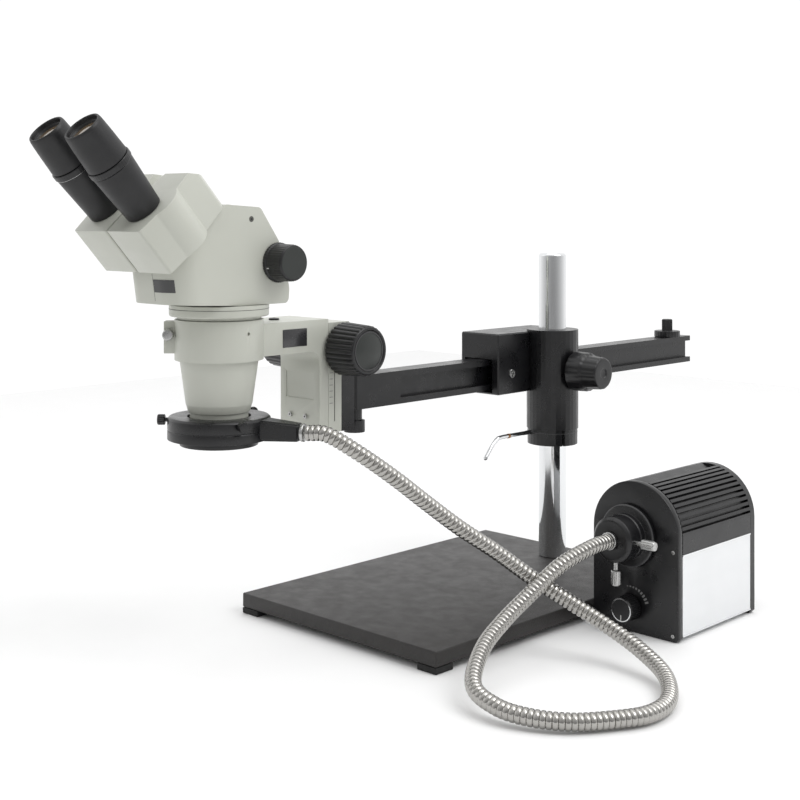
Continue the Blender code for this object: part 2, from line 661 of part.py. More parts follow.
def build_head(carriage_body):
    """The head: nose barrel, objective, shell and the zoom drive."""
    body = empty("head_hinge", (HEAD_X, HEAD_Y, RING_TOP), carriage_body)
    centre = (HEAD_X, HEAD_Y, 0)
    profile = [(47, 335), (47, 324), (39.5, 324), (39.5, 321.3), (38, 321.3), (38, 287),
               (37.5, 285.5), (30.9, 238), (29, 234), (27.5, 234), (27.5, 214), (22, 214), (22, 236),
               (26, 236), (26, 246), (33, 286), (33, 335)]
    settle(turned(profile, 36, centre, "Z", closed=True), "nose_barrel", "cream_paint",
           (HEAD_X, HEAD_Y, 214), body)
    settle(turned([(0, 244), (18, 243), (25.7, 240), (25.7, 236.3), (0, 236.3)], 24, centre),
           "objective_lens", "glass", (HEAD_X, HEAD_Y, 236.3), body)
    outline = [(-414, 335.3), (-411, 338.3), (-410, 350), (-423, 394), (-446, 426), (-480, 428),
               (-487, 428.8), (-560, 363.1), (-560, 338.5), (-535, 338.5), (-470, 335.3)]
    shell = settle(extruded(outline, "X", (HEAD_X - HEAD_HALF, HEAD_X + HEAD_HALF)),
                   "head_shell", "cream_paint", (HEAD_X, HEAD_Y, 335.3), body)
    plan = [(HEAD_X + HEAD_HALF, -380), (HEAD_X - HEAD_HALF, -380)]
    plan += arc((HEAD_X - HEAD_HALF + PROW_R, PROW_Y + PROW_R), PROW_R, 180, 270, 8)
    plan += arc((HEAD_X + HEAD_HALF - PROW_R, PROW_Y + PROW_R), PROW_R, 270, 360, 8)
    prow = extruded(plan, "Z", (300, 460))
    for corner in prow.verts:
        corner.co.y -= PROW_LEAN * (corner.co.z - 340)
    combine(shell, prow, "INTERSECT")
    edge = shell.modifiers.new("edge", "BEVEL")
    edge.width = 4 * MM
    edge.segments = 2
    edge.limit_method = "ANGLE"
    edge.angle_limit = math.radians(60)
    inner = [(-417, 339), (-413.5, 350), (-426, 391), (-449, 421.5), (-481, 423.5), (-519, 389),
             (-506, 345), (-504, 339)]
    cut(shell, extruded(inner, "X", (HEAD_X - 36.5, HEAD_X + 36.5)))
    cut(shell, rod(31, (330, 345), centre, "Z", 32))
    cut(shell, rod(3.3, (-50, 50), (HEAD_X, ZOOM_Y, ZOOM_Z), "X", 12))
    carriage = settle(block((-70, -7), (-500, -440), (350, 358)), "zoom_lens_carriage",
                      "aluminium", (HEAD_X, HEAD_Y, 350), body)
    for side in (-1, 1):
        cut(carriage, rod(12, (340, 370), (HEAD_X + side * 14, -470, 0), "Z", 16))
    settle(rod(3, (-62, 62), (HEAD_X, ZOOM_Y, ZOOM_Z), "X", 12), "zoom_shaft", "steel",
           (HEAD_X, ZOOM_Y, ZOOM_Z), body)
    columns = [i % 2 for i in range(28)]
    profile = [(0, 62.3), (3.3, 62.3), (3.3, 40.4), (19, 40.4), (19, 43), (17.6, 44), (17.2, 61.5),
               (15.5, 63.5), (0, 63.5)]
    for name, side in (("left", -1), ("right", 1)):
        sided = [(radius, side * height) for radius, height in profile]
        knob = turned(sided, 28, (HEAD_X, ZOOM_Y, ZOOM_Z), "X")
        fluted(knob, columns, 0.7, 16.5, (HEAD_X, ZOOM_Y, ZOOM_Z), "X")
        settle(knob, "zoom_knob_" + name, "black_plastic",
               (HEAD_X + side * 40.4, ZOOM_Y, ZOOM_Z), body)
    return body


def build_eye_side(head_body, side_name, side):
    """One prism housing with its prism, diopter ring and eyepiece.

    These are modelled upright, the eyepiece's axis along Z through the local origin and the
    side away from the other eye along +X times side, and then leaned toward the user.
    """
    eye = Vector((HEAD_X + side * EYE_HALF, EYE_Y, EYE_Z))
    lean = (math.pi / 2 - TILT, 0.0, 0.0)
    body = empty("eye_frame_" + side_name, eye, head_body)
    body.rotation_euler = lean
    PLACES[body.name] = Vector((0, 0, 0))
    front = -28.0
    outline = [(-27, front), (22, front)]
    outline += arc((4, 8), 25, -35, 55, 6)
    outline += [(14, 58), (5, 65), (-8, 65), (-17, 56), (-27, 22)]
    outline = [(side * u, v) for u, v in outline]
    pivot = (side * PIVOT_U, PIVOT_V, -DRUM_DEPTH)
    shape = extruded(outline, "Z", (-DRUM_DEPTH, 0))
    slope = bmesh.ops.bisect_plane(shape, geom=shape.verts[:] + shape.edges[:] + shape.faces[:],
                                   plane_co=(0, 49, 0), plane_no=(0, 0.707, 0.707), clear_outer=True)
    rim = [item for item in slope["geom_cut"] if isinstance(item, bmesh.types.BMEdge)]
    bmesh.ops.contextual_create(shape, geom=rim)
    drum = settle(shape, "prism_housing_" + side_name, "cream_paint", pivot, body)
    edge = drum.modifiers.new("edge", "BEVEL")
    edge.width = 3 * MM
    edge.segments = 2
    edge.limit_method = "ANGLE"
    edge.angle_limit = math.radians(60)
    inner = [(side * u, v) for u, v in [(-20, -21), (16, -21), (22, 8), (10, 42), (-6, 44), (-20, 18)]]
    cut(drum, extruded(inner, "Z", (-46, -8)))
    cut(drum, block((-13, 13), (10, 38), (-60, -40)))
    cut(drum, rod(13, (-10, 5), (0, 0, 0), "Z", 16))
    prism = [(side * u, v) for u, v in [(-14, -14), (13, -14), (13, 14), (4, 34), (-6, 34), (-14, 14)]]
    settle(extruded(prism, "Z", (-38, -12)), "prism_" + side_name, "glass", pivot, body)
    settle(turned([(15.3, 50.3), (20.2, 50.3), (20.4, 56), (15.3, 56)], 24, closed=True),
           "diopter_ring_" + side_name, "black_plastic", (0, 0, 50.3), body)
    settle(turned([(0, 0.3), (16.6, 0.3), (19.8, 50), (15, 50), (15, 56.3), (19.3, 56.3),
                   (17.4, 94), (16.4, 95), (14.5, 95), (13, 91), (0, 91)], 24),
           "eyepiece_" + side_name, "rubber", (0, 0, 0.3), body)


# ---------------------------------------------------------------- ring light

def build_ring_light(head_body):
    """The ring light on the nose: housing with neck, bezel, thumb screws and ferrule."""
    body = empty("light_hinge", (HEAD_X, HEAD_Y, LIGHT_LOW), head_body)
    centre = Vector((HEAD_X, HEAD_Y, 0))
    housing = settle(turned([(LIGHT_BORE_R, LIGHT_LOW), (LIGHT_R, LIGHT_LOW), (LIGHT_R, LIGHT_TOP - 2),
                             (LIGHT_R - 2, LIGHT_TOP), (LIGHT_BORE_R, LIGHT_TOP)], 36, centre, closed=True),
                     "ring_light_housing", "black_paint", (HEAD_X, HEAD_Y, LIGHT_LOW), body)
    neck = bmesh.new()
    bmesh.ops.create_cube(neck, size=1.0)
    for corner in neck.verts:
        far = corner.co.x > 0
        width = 15.5 if far else 25.0
        low, high = (GUIDE_Z - 7.8, GUIDE_Z + 7.8) if far else (LIGHT_LOW + 0.6, LIGHT_TOP - 0.6)
        corner.co = (NECK_END if far else 40.0, corner.co.y * width, high if corner.co.z > 0 else low)
    aimed(housing, neck, "UNION", centre, NECK_ANGLE)
    socket = rod(5.3, (NECK_END - 14, NECK_END + 5), (0, 0, GUIDE_Z), "X", 12)
    aimed(housing, socket, "DIFFERENCE", centre, NECK_ANGLE)
    for i, name in enumerate(("front", "right", "rear")):
        angle = math.radians(-135 + 120 * i)
        hole = rod(2.3, (25, 60), (0, 0, LIGHT_SCREW_Z), "X", 8)
        aimed(housing, hole, "DIFFERENCE", centre, angle)
        shape = [(0, 27.9), (2, 27.9), (2, 51), (5, 51), (5, 58), (0, 58)]
        screw = turned(shape, 12, (0, 0, LIGHT_SCREW_Z), "X")
        screw.transform(aim(centre, angle))
        at = aim(centre, angle) @ Vector((51, 0, LIGHT_SCREW_Z))
        settle(screw, "ring_screw_" + name, "black_paint", at, body)
    low = LIGHT_LOW - GAP
    settle(tube(26, 37, (low - 5.7, low), centre, "Z", 32), "ring_light_bezel", "black_plastic",
           (HEAD_X, HEAD_Y, low), body)
    ferrule = turned([(0, NECK_END - 12), (5, NECK_END - 12), (5, NECK_END + 0.3),
                      (7.9, NECK_END + 0.3), (7.9, NECK_END + 3.5), (0, NECK_END + 3.5)],
                     16, (0, 0, GUIDE_Z), "X")
    ferrule.transform(aim(centre, NECK_ANGLE))
    at = aim(centre, NECK_ANGLE) @ Vector((NECK_END, 0, GUIDE_Z))
    settle(ferrule, "guide_ferrule", "aluminium", at, body)


def build_guide(root):
    """The light guide, a flexible metal conduit, and the plug on its lamp end."""
    settle(turned([(0, -158.6), (8.8, -158.6), (8.8, -154.3), (8, -154.3), (8, -116), (0, -116)],
                  16, (PORT_X, 0, PORT_Z), "Y"),
           "guide_plug", "aluminium", (PORT_X, -158.6, PORT_Z), root)
    points = smooth_route(GUIDE_ROUTE, 2.1 * GUIDE_D)
    swept("light_guide", "steel", points, GUIDE_D / 2, GUIDE_ROUTE[-1], root, sides=2)


clear_scene()
stand = empty("stand", (0, 0, 0))
build_base(stand)
build_lamp_shell(stand)
build_lamp_front(stand)
build_lamp_inside(stand)
collar_frame = build_collar(stand)
block_frame = build_glide_block(collar_frame)
boom_frame = build_boom(block_frame)
mount_frame = build_focus_mount(boom_frame)
build_pinion(mount_frame)
carriage_frame = build_carriage(mount_frame)
head_frame = build_head(carriage_frame)
build_eye_side(head_frame, "left", -1)
build_eye_side(head_frame, "right", 1)
build_ring_light(head_frame)
build_guide(stand)
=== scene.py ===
"""Looks of the stereo microscope: camera, light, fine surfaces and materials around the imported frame.

Lengths are in millimetres in the stand's own frame: the post stands at X = Y = 0, the user
sits at -Y and +X is on the user's right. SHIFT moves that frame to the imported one.
"""

import math

import bmesh
import bpy
from mathutils import Matrix, Vector


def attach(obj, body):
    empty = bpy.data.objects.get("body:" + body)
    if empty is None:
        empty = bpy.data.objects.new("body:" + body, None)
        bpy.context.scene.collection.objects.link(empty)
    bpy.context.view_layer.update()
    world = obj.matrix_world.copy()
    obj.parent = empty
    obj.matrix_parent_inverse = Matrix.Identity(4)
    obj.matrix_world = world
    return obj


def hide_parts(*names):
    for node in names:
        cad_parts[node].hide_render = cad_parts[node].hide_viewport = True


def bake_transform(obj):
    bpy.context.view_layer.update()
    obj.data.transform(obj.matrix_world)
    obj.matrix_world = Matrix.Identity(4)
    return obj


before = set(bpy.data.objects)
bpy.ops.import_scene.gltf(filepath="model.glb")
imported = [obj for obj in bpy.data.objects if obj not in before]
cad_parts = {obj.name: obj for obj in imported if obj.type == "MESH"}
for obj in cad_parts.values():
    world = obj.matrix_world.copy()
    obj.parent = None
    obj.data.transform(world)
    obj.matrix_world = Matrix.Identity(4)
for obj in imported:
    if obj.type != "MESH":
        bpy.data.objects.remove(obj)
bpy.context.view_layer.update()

MM = 0.001
SHIFT = Vector((-54.25, 152.15, 0.0))
TO_FRAME = Matrix.Scale(MM, 4) @ Matrix.Translation(SHIFT)

HEAD_X = -38.5
HEAD_Y = -463.0
HEAD = Vector((HEAD_X, HEAD_Y, 0.0))
EYE_HALF = 28.0
EYE_Y = -568.5
EYE_Z = 423.3
EYE_LEAN = math.radians(42.0)
HEAD_HALF = 40.0
PROW_R = 25.0
PROW_CORNER_Y = -516.0
PROW_SLOPE = 0.15
PROW_LEVEL = 340.0
HEAD_SET_SCREW = Vector((HEAD_X, -457.0, 415.0))
TENSION = Vector((0.0, 0.0, 238.7))
END_STOP = Vector((HEAD_X, 303.0, 0.0))
ZOOM = Vector((HEAD_X, -425.0, 374.0))
FOCUS = Vector((HEAD_X, -331.0, 285.5))
NECK_ANGLE = math.radians(25.7)
NECK_END = 83.6
GUIDE_Z = 218.0
PORT = Vector((189.5, -145.0, 97.0))
DIMMER = Vector((190.5, 0.0, 25.0))
LAMP_LEFT = 145.0
LAMP_RIGHT = 246.0
LAMP_FRONT = -121.0
LAMP_REAR = 26.0
LAMP_ARCH = Vector((195.5, 0.0, 101.0))
LAMP_ARCH_R = 50.5

CAMERA_PLACE = Vector((964.2, -1261.9, 422.1))
CAMERA_TURN = math.radians(44.487)
CAMERA_LENS = 60.75
CAMERA_SHIFT = (0.0198, -0.2358)

# The light guide
GUIDE_D = 15.0
RIB_PITCH = 5.0
RIB_STEPS = 5
GROOVE_DEPTH = 1.2
GROOVE_SHAPE = (0.0, 0.0, 0.15, 1.0, 0.15)
GUIDE_SIDES = 20
# Each bending stretch keeps a fifth of its length straight at either end
GUIDE_ROUTE = [
    (42.6, -424.0, 218.0),
    (59.9, -415.6, 217.2),
    (83.0, -397.0, 200.5),
    (100.0, -368.5, 176.5),
    (112.0, -338.5, 151.0),
    (126.0, -307.0, 124.5),
    (143.5, -276.0, 100.0),
    (166.0, -249.5, 74.5),
    (195.0, -227.5, 52.5),
    (230.0, -216.5, 35.0),
    (268.0, -219.0, 21.5),
    (305.5, -237.0, 12.0),
    (334.0, -276.0, 8.0),
    (341.0, -314.0, 8.0),
    (328.0, -345.0, 8.0),
    (306.0, -376.0, 8.5),
    (277.0, -395.0, 10.0),
    (247.0, -401.0, 13.0),
    (215.0, -391.0, 20.0),
    (190.0, -350.0, 35.0),
    (180.0, -308.0, 49.0),
    (179.0, -266.0, 66.0),
    (184.0, -228.0, 85.5),
    (189.5, -187.0, 96.0),
    (189.5, -159.5, 97.0),
]
# How far along the guide each bending stretch ends, from the ring light to the bench
GUIDE_ENDS = [93.0, 186.0, 279.0, 372.0, 465.0, 558.0, 651.0]


# ---------------------------------------------------------------- materials

def noise(tree, scale, detail=3.0, stretch=(1.0, 1.0, 1.0)):
    """A noise texture in the object's own space; scale counts features in a metre."""
    place = tree.nodes.new("ShaderNodeTexCoord")
    mapping = tree.nodes.new("ShaderNodeMapping")
    mapping.inputs["Scale"].default_value = stretch
    texture = tree.nodes.new("ShaderNodeTexNoise")
    texture.inputs["Scale"].default_value = scale
    texture.inputs["Detail"].default_value = detail
    tree.links.new(place.outputs["Object"], mapping.inputs["Vector"])
    tree.links.new(mapping.outputs["Vector"], texture.inputs["Vector"])
    return texture


def remap(tree, texture, low, high):
    """Turn a noise value of 0.3 to 0.7 into a value from low to high."""
    found = tree.nodes.new("ShaderNodeMapRange")
    found.inputs["From Min"].default_value = 0.3
    found.inputs["From Max"].default_value = 0.7
    found.inputs["To Min"].default_value = low
    found.inputs["To Max"].default_value = high
    tree.links.new(texture.outputs["Fac"], found.inputs["Value"])
    return found.outputs["Result"]


def surface(name, colour, roughness, metallic=0.0, grain=0.0, grain_scale=2500.0, mottle=0.04,
            smear=0.06, stretch=(1.0, 1.0, 1.0), coat=0.0, speck=0.0):
    """A Principled material with a fine grain, faint mottling and uneven gloss."""
    made = bpy.data.materials.new(name)
    made.use_nodes = True
    tree = made.node_tree
    shader = tree.nodes["Principled BSDF"]
    shader.inputs["Metallic"].default_value = metallic
    shader.inputs["Coat Weight"].default_value = coat
    shader.inputs["Coat Roughness"].default_value = 0.15
    darker = tuple(c * (1.0 - mottle) for c in colour)
    lighter = tuple(min(1.0, c * (1.0 + mottle)) for c in colour)
    tint = tree.nodes.new("ShaderNodeMix")
    tint.data_type = "RGBA"
    tint.inputs["A"].default_value = (*darker, 1.0)
    tint.inputs["B"].default_value = (*lighter, 1.0)
    tree.links.new(remap(tree, noise(tree, 18.0), 0.0, 1.0), tint.inputs["Factor"])
    found = tint.outputs["Result"]
    if speck:
        fleck = tree.nodes.new("ShaderNodeMix")
        fleck.data_type = "RGBA"
        fleck.inputs["B"].default_value = (*(min(1.0, c + speck) for c in colour), 1.0)
        tree.links.new(found, fleck.inputs["A"])
        tree.links.new(remap(tree, noise(tree, grain_scale * 0.8), 0.0, 0.8), fleck.inputs["Factor"])
        found = fleck.outputs["Result"]
    tree.links.new(found, shader.inputs["Base Color"])
    gloss = remap(tree, noise(tree, 70.0, 4.0, stretch), roughness - smear, roughness + smear)
    tree.links.new(gloss, shader.inputs["Roughness"])
    if grain:
        bump = tree.nodes.new("ShaderNodeBump")
        bump.inputs["Strength"].default_value = grain
        bump.inputs["Distance"].default_value = 0.0004
        tree.links.new(noise(tree, grain_scale, 2.0, stretch).outputs["Fac"], bump.inputs["Height"])
        tree.links.new(bump.outputs["Normal"], shader.inputs["Normal"])
    return made


LOOKS = {
    "cream": surface("cream_enamel", (0.50, 0.51, 0.455), 0.36, grain=0.10, grain_scale=1400, mottle=0.02),
    "black": surface("satin_black_enamel", (0.006, 0.006, 0.007), 0.30, grain=0.10, grain_scale=1600),
    "base": surface("wrinkle_paint", (0.013, 0.011, 0.010), 0.46, grain=0.9, grain_scale=900,
                    mottle=0.15, speck=0.012),
    "plastic": surface("black_moulding", (0.007, 0.007, 0.008), 0.34, grain=0.12, grain_scale=2600),
    "rubber": surface("black_rubber", (0.008, 0.008, 0.009), 0.46, grain=0.15, grain_scale=2200),
    "feet": surface("foot_rubber", (0.012, 0.012, 0.012), 0.80, grain=0.2),
    "chrome": surface("hard_chrome", (0.78, 0.79, 0.80), 0.10, 1.0, mottle=0.02, smear=0.03,
                      stretch=(1.0, 1.0, 0.1)),
    "steel": surface("turned_steel", (0.46, 0.46, 0.455), 0.26, 1.0, grain=0.05, smear=0.06),
    "conduit": surface("stainless_conduit", (0.42, 0.41, 0.39), 0.18, 1.0, mottle=0.06, smear=0.08),
    "aluminium": surface("satin_aluminium", (0.80, 0.81, 0.82), 0.42, 0.75, grain=0.06,
                         stretch=(1.0, 0.06, 1.0), mottle=0.02),
    "edge": surface("worn_edge", (0.05, 0.05, 0.052), 0.40, grain=0.05),
    "brass": surface("machined_brass", (0.70, 0.50, 0.22), 0.30, 1.0, mottle=0.05),
    "copper": surface("copper_band", (0.45, 0.24, 0.12), 0.35, 1.0),
    "dial": surface("dark_disc", (0.018, 0.021, 0.019), 0.34, grain=0.05),
    "plate": surface("name_plate", (0.022, 0.022, 0.024), 0.28, coat=0.5),
    "label": surface("data_plate", (0.060, 0.060, 0.062), 0.34),
    "print": surface("white_print", (0.62, 0.62, 0.60), 0.50),
    "grey_print": surface("grey_print", (0.16, 0.16, 0.16), 0.50),
    "groove": surface("shadow_line", (0.10, 0.10, 0.09), 0.70),
    "lens": surface("coated_lens", (0.16, 0.11, 0.06), 0.05, smear=0.02, coat=1.0),
    "glass": surface("optical_glass", (0.30, 0.36, 0.38), 0.05, smear=0.02, coat=1.0),
    "diffuser": surface("fibre_ring", (0.60, 0.60, 0.56), 0.30, mottle=0.1),
}
NODE_LOOKS = {
    "base": ["base_plate"],
    "feet": ["foot_front_left", "foot_front_right", "foot_rear_left", "foot_rear_right"],
    "chrome": ["post", "clamp_lever"],
    "steel": ["post_bolt", "boom_brake_screw", "boom_roller_front", "boom_roller_rear", "focus_pinion",
              "head_clamp_screw", "zoom_shaft", "port_screw_side", "port_screw_lower"],
    "black": ["lamp_front_plate", "lamp_rear_plate", "lamp_heat_sink", "lamp_port", "stop_collar",
              "glide_block", "boom", "mount_bracket", "swivel_pin", "ring_light_housing",
              "ring_screw_front", "ring_screw_right", "ring_screw_rear"],
    "plastic": ["mains_inlet", "power_switch", "fan_rotor", "tension_knob", "end_stop_knob", "dimmer_knob",
                "ring_light_bezel", "focus_knob_left", "focus_knob_right", "zoom_knob_left",
                "zoom_knob_right", "diopter_ring_left", "diopter_ring_right"],
    "rubber": ["eyepiece_left", "eyepiece_right"],
    "aluminium": ["lamp_side_cover", "lamp_and_holder", "zoom_lens_carriage", "guide_plug", "guide_ferrule"],
    "cream": ["focus_slide_plate", "focus_carriage", "head_shell", "nose_barrel", "prism_housing_left",
              "prism_housing_right"],
    "brass": ["focus_rack"],
    "glass": ["prism_left", "prism_right", "objective_lens"],
    "conduit": ["light_guide"],
}


def dress_frame():
    """Give every CAD node its material, and smooth its round faces."""
    for look, names in NODE_LOOKS.items():
        for name in names:
            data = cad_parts[name].data
            data.materials.clear()
            data.materials.append(LOOKS[look])
            data.shade_smooth()
            data.set_sharp_from_angle(angle=math.radians(28))


# ---------------------------------------------------------------- shapes

def placed(mesh, name, look, body, stands_for=(), tools=(), edge=0.0, edge_angle=35.0, segments=3, at=None):
    """Make a piece from a mesh in millimetres: cut it, round its edges, and let it ride on a body."""
    data = bpy.data.meshes.new(name)
    mesh.normal_update()
    bmesh.ops.recalc_face_normals(mesh, faces=mesh.faces)
    mesh.to_mesh(data)
    mesh.free()
    made = bpy.data.objects.new(name, data)
    bpy.context.collection.objects.link(made)
    cutters = []
    for tool_mesh, operation in tools:
        cutter = loose(tool_mesh, name + "_tool")
        cutters.append(cutter)
        step = made.modifiers.new("cut", "BOOLEAN")
        step.operation = operation
        step.solver = "EXACT"
        step.object = cutter
    if edge:
        bevel = made.modifiers.new("edge", "BEVEL")
        bevel.width = edge
        bevel.segments = segments
        bevel.limit_method = "ANGLE"
        bevel.angle_limit = math.radians(edge_angle)
        bevel.miter_outer = "MITER_ARC"
        bevel.harden_normals = False
    bpy.context.view_layer.update()
    graph = bpy.context.evaluated_depsgraph_get()
    final = bpy.data.meshes.new_from_object(made.evaluated_get(graph), depsgraph=graph)
    made.modifiers.clear()
    made.data = final
    for cutter in cutters:
        bpy.data.objects.remove(cutter, do_unlink=True)
    final.transform(TO_FRAME @ (at or Matrix.Identity(4)))
    final.shade_smooth()
    final.set_sharp_from_angle(angle=math.radians(32))
    final.materials.clear()
    final.materials.append(LOOKS[look])
    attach(made, body)
    if stands_for:
        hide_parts(*stands_for)
    return made


def loose(mesh, name):
    """An object that only lends its shape to a cut."""
    data = bpy.data.meshes.new(name)
    mesh.normal_update()
    bmesh.ops.recalc_face_normals(mesh, faces=mesh.faces)
    mesh.to_mesh(data)
    mesh.free()
    made = bpy.data.objects.new(name, data)
    bpy.context.collection.objects.link(made)
    made.hide_render = True
    return made


def block(x, y, z):
    """A box between pairs of X, Y and Z."""
    mesh = bmesh.new()
    bmesh.ops.create_cube(mesh, size=1.0)
    for corner in mesh.verts:
        corner.co = Vector([(low + high) / 2 + (high - low) * c
                            for (low, high), c in zip((x, y, z), corner.co)])
    return mesh


def extruded(outline, axis, span):
    """An outline pushed along an axis: its points are (X, Y), (X, Z) or (Y, Z)."""
    mesh = bmesh.new()
    corners = []
    for first, second in outline:
        place = {"Z": (first, second, span[0]), "Y": (first, span[0], second),
                 "X": (span[0], first, second)}[axis]
        corners.append(mesh.verts.new(place))
    face = mesh.faces.new(corners)
    push = bmesh.ops.extrude_face_region(mesh, geom=[face])
    moved = [item for item in push["geom"] if isinstance(item, bmesh.types.BMVert)]
    way = {"X": (1, 0, 0), "Y": (0, 1, 0), "Z": (0, 0, 1)}[axis]
    bmesh.ops.translate(mesh, verts=moved, vec=Vector(way) * (span[1] - span[0]))
    return mesh


LAY = {"Z": Matrix.Identity(4), "X": Matrix.Rotation(math.pi / 2, 4, "Y"),
       "Y": Matrix.Rotation(-math.pi / 2, 4, "X")}


def turned(profile, centre=(0, 0, 0), axis="Z", steps=96, closed=False):
    """A profile of (radius, height) turned about an axis through a centre."""
    mesh = bmesh.new()
    line = [mesh.verts.new((radius, 0.0, height)) for radius, height in profile]
    pairs = list(zip(line, line[1:]))
    if closed:
        pairs.append((line[-1], line[0]))
    edges = [mesh.edges.new(pair) for pair in pairs]
    bmesh.ops.spin(mesh, geom=line + edges, cent=(0, 0, 0), axis=(0, 0, 1), angle=2 * math.pi,
                   steps=steps, use_duplicate=False)
    bmesh.ops.remove_doubles(mesh, verts=mesh.verts, dist=0.0005)
    mesh.transform(Matrix.Translation(Vector(centre)) @ LAY[axis])
    return mesh


def soft(points, radius, count=3, closed=False):
    """Round a profile's corners with short arcs of about the given radius."""
    rounded = []
    last = len(points) - 1
    for i, here in enumerate(points):
        if not closed and i in (0, last):
            rounded.append(here)
            continue
        here = Vector(here)
        before = Vector(points[i - 1]) - here
        after = Vector(points[(i + 1) % len(points)]) - here
        reach = min(radius, before.length * 0.45, after.length * 0.45)
        if reach < 0.02 or before.angle(after) > math.radians(172):
            rounded.append(tuple(here))
            continue
        start = here + before.normalized() * reach
        end = here + after.normalized() * reach
        for k in range(count + 1):
            t = k / count
            point = (1 - t) ** 2 * start + 2 * t * (1 - t) * here + t * t * end
            rounded.append(tuple(point))
    return rounded


def arc(centre, radius, first, last, steps):
    """Points on an arc, its angles in degrees."""
    found = []
    for i in range(steps + 1):
        angle = math.radians(first + (last - first) * i / steps)
        found.append((centre[0] + radius * math.cos(angle), centre[1] + radius * math.sin(angle)))
    return found


def ribbed(mesh, centre, axis, least, ribs, depth, power=1.0):
    """Press a wave of ribs into a turned shape wherever it is wider than least."""
    middle = Vector(centre)
    along = {"X": 0, "Y": 1, "Z": 2}[axis]
    flat = [i for i in range(3) if i != along]
    for corner in mesh.verts:
        away = corner.co - middle
        away[along] = 0.0
        if away.length <= least:
            continue
        turn = math.atan2(away[flat[1]], away[flat[0]]) * ribs
        dip = (0.5 - 0.5 * math.cos(turn)) ** power
        corner.co -= away.normalized() * depth * dip
    return mesh


def aim(around, angle):
    """Turn about Z through the origin, then move to a point."""
    return Matrix.Translation(Vector(around)) @ Matrix.Rotation(angle, 4, "Z")


# ---------------------------------------------------------------- camera

def build_camera():
    """A level camera at the viewing angle, its shift only framing the object."""
    data = bpy.data.cameras.new("camera")
    data.sensor_width = 36.0
    data.lens = CAMERA_LENS
    data.shift_x, data.shift_y = CAMERA_SHIFT
    data.clip_end = 50.0
    made = bpy.data.objects.new("camera", data)
    bpy.context.collection.objects.link(made)
    made.location = (CAMERA_PLACE + SHIFT) * MM
    made.rotation_euler = (math.pi / 2, 0.0, CAMERA_TURN)
    bpy.context.scene.camera = made


# ---------------------------------------------------------------- the light guide

def smooth_route(route, spacing):
    """Points a fixed spacing apart along a smooth curve through a route."""
    points = [Vector(p) for p in route]
    points = [2 * points[0] - points[1]] + points + [2 * points[-1] - points[-2]]
    fine = []
    for a, b, c, d in zip(points, points[1:], points[2:], points[3:]):
        for i in range(40):
            t = i / 40
            fine.append(0.5 * (2 * b + (c - a) * t + (2 * a - 5 * b + 4 * c - d) * t * t
                               + (3 * b - a - 3 * c + d) * t * t * t))
    fine.append(points[-2])
    total = sum((b - a).length for a, b in zip(fine, fine[1:]))
    count = round(total / spacing)
    kept = [fine[0]]
    gone = 0.0
    for a, b in zip(fine, fine[1:]):
        step = (b - a).length
        while gone + step >= total * len(kept) / count and len(kept) < count:
            share = (total * len(kept) / count - gone) / step
            kept.append(a.lerp(b, share))
        gone += step
    kept.append(fine[-1])
    return kept, total


def guide_rings(points):
    """Rings of the ribbed conduit, one around each point."""
    rings = []
    side = Vector((0, 0, 1))
    for i, point in enumerate(points):
        along = (points[min(i + 1, len(points) - 1)] - points[max(i - 1, 0)]).normalized()
        side = (side - along * side.dot(along)).normalized()
        up = along.cross(side)
        radius = GUIDE_D / 2 - GROOVE_DEPTH * GROOVE_SHAPE[i % RIB_STEPS]
        rings.append([point + (side * math.cos(2 * math.pi * k / GUIDE_SIDES)
                               + up * math.sin(2 * math.pi * k / GUIDE_SIDES)) * radius
                      for k in range(GUIDE_SIDES)])
    return rings


def build_guide():
    """The conduit, split into stretches at the listed distances; only the last stretch rides on the base."""
    points, total = smooth_route(GUIDE_ROUTE, RIB_PITCH / RIB_STEPS)
    rings = guide_rings(points)
    step = total / (len(points) - 1)
    stops = [0] + [round(end / step) for end in GUIDE_ENDS] + [len(points) - 1]
    for i, (first, last) in enumerate(zip(stops, stops[1:])):
        mesh = bmesh.new()
        rows = [[mesh.verts.new(corner) for corner in ring] for ring in rings[first:last + 1]]
        for row, following in zip(rows, rows[1:]):
            for k in range(len(row)):
                around = (k + 1) % len(row)
                mesh.faces.new((row[k], row[around], following[around], following[k]))
        mesh.faces.new(rows[0][::-1])
        mesh.faces.new(rows[-1])
        name = "guide_conduit_" + str(i + 1)
        data = bpy.data.meshes.new(name)
        bmesh.ops.recalc_face_normals(mesh, faces=mesh.faces)
        mesh.to_mesh(data)
        mesh.free()
        data.transform(TO_FRAME)
        data.shade_smooth()
        data.set_sharp_from_angle(angle=math.radians(60))
        data.materials.append(LOOKS["conduit"])
        piece = bpy.data.objects.new(name, data)
        bpy.context.collection.objects.link(piece)
        if i < len(GUIDE_ENDS):
            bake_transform(piece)
        else:
            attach(piece, "base")
            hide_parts("light_guide")


# ---------------------------------------------------------------- stand

def hex_screw(name, centre, axis, radius, body, sign=1):
    """A small cap screw with a hexagon socket, its head rising by sign along an axis."""
    head = turned(soft([(0, 0), (radius, 0), (radius, 1.4), (0, 1.4)], 0.4), (0, 0, 0), "Z", 32)
    socket = extruded(arc((0, 0), radius * 0.5, 0, 300, 5), "Z", (0.5, 3))
    turn = {"X": Matrix.Rotation(sign * math.pi / 2, 4, "Y"),
            "Y": Matrix.Rotation(-sign * math.pi / 2, 4, "X"),
            "Z": Matrix.Rotation(0 if sign > 0 else math.pi, 4, "X")}[axis]
    placed(head, name, "steel", body, tools=[(socket, "DIFFERENCE")],
           at=Matrix.Translation(Vector(centre)) @ turn)


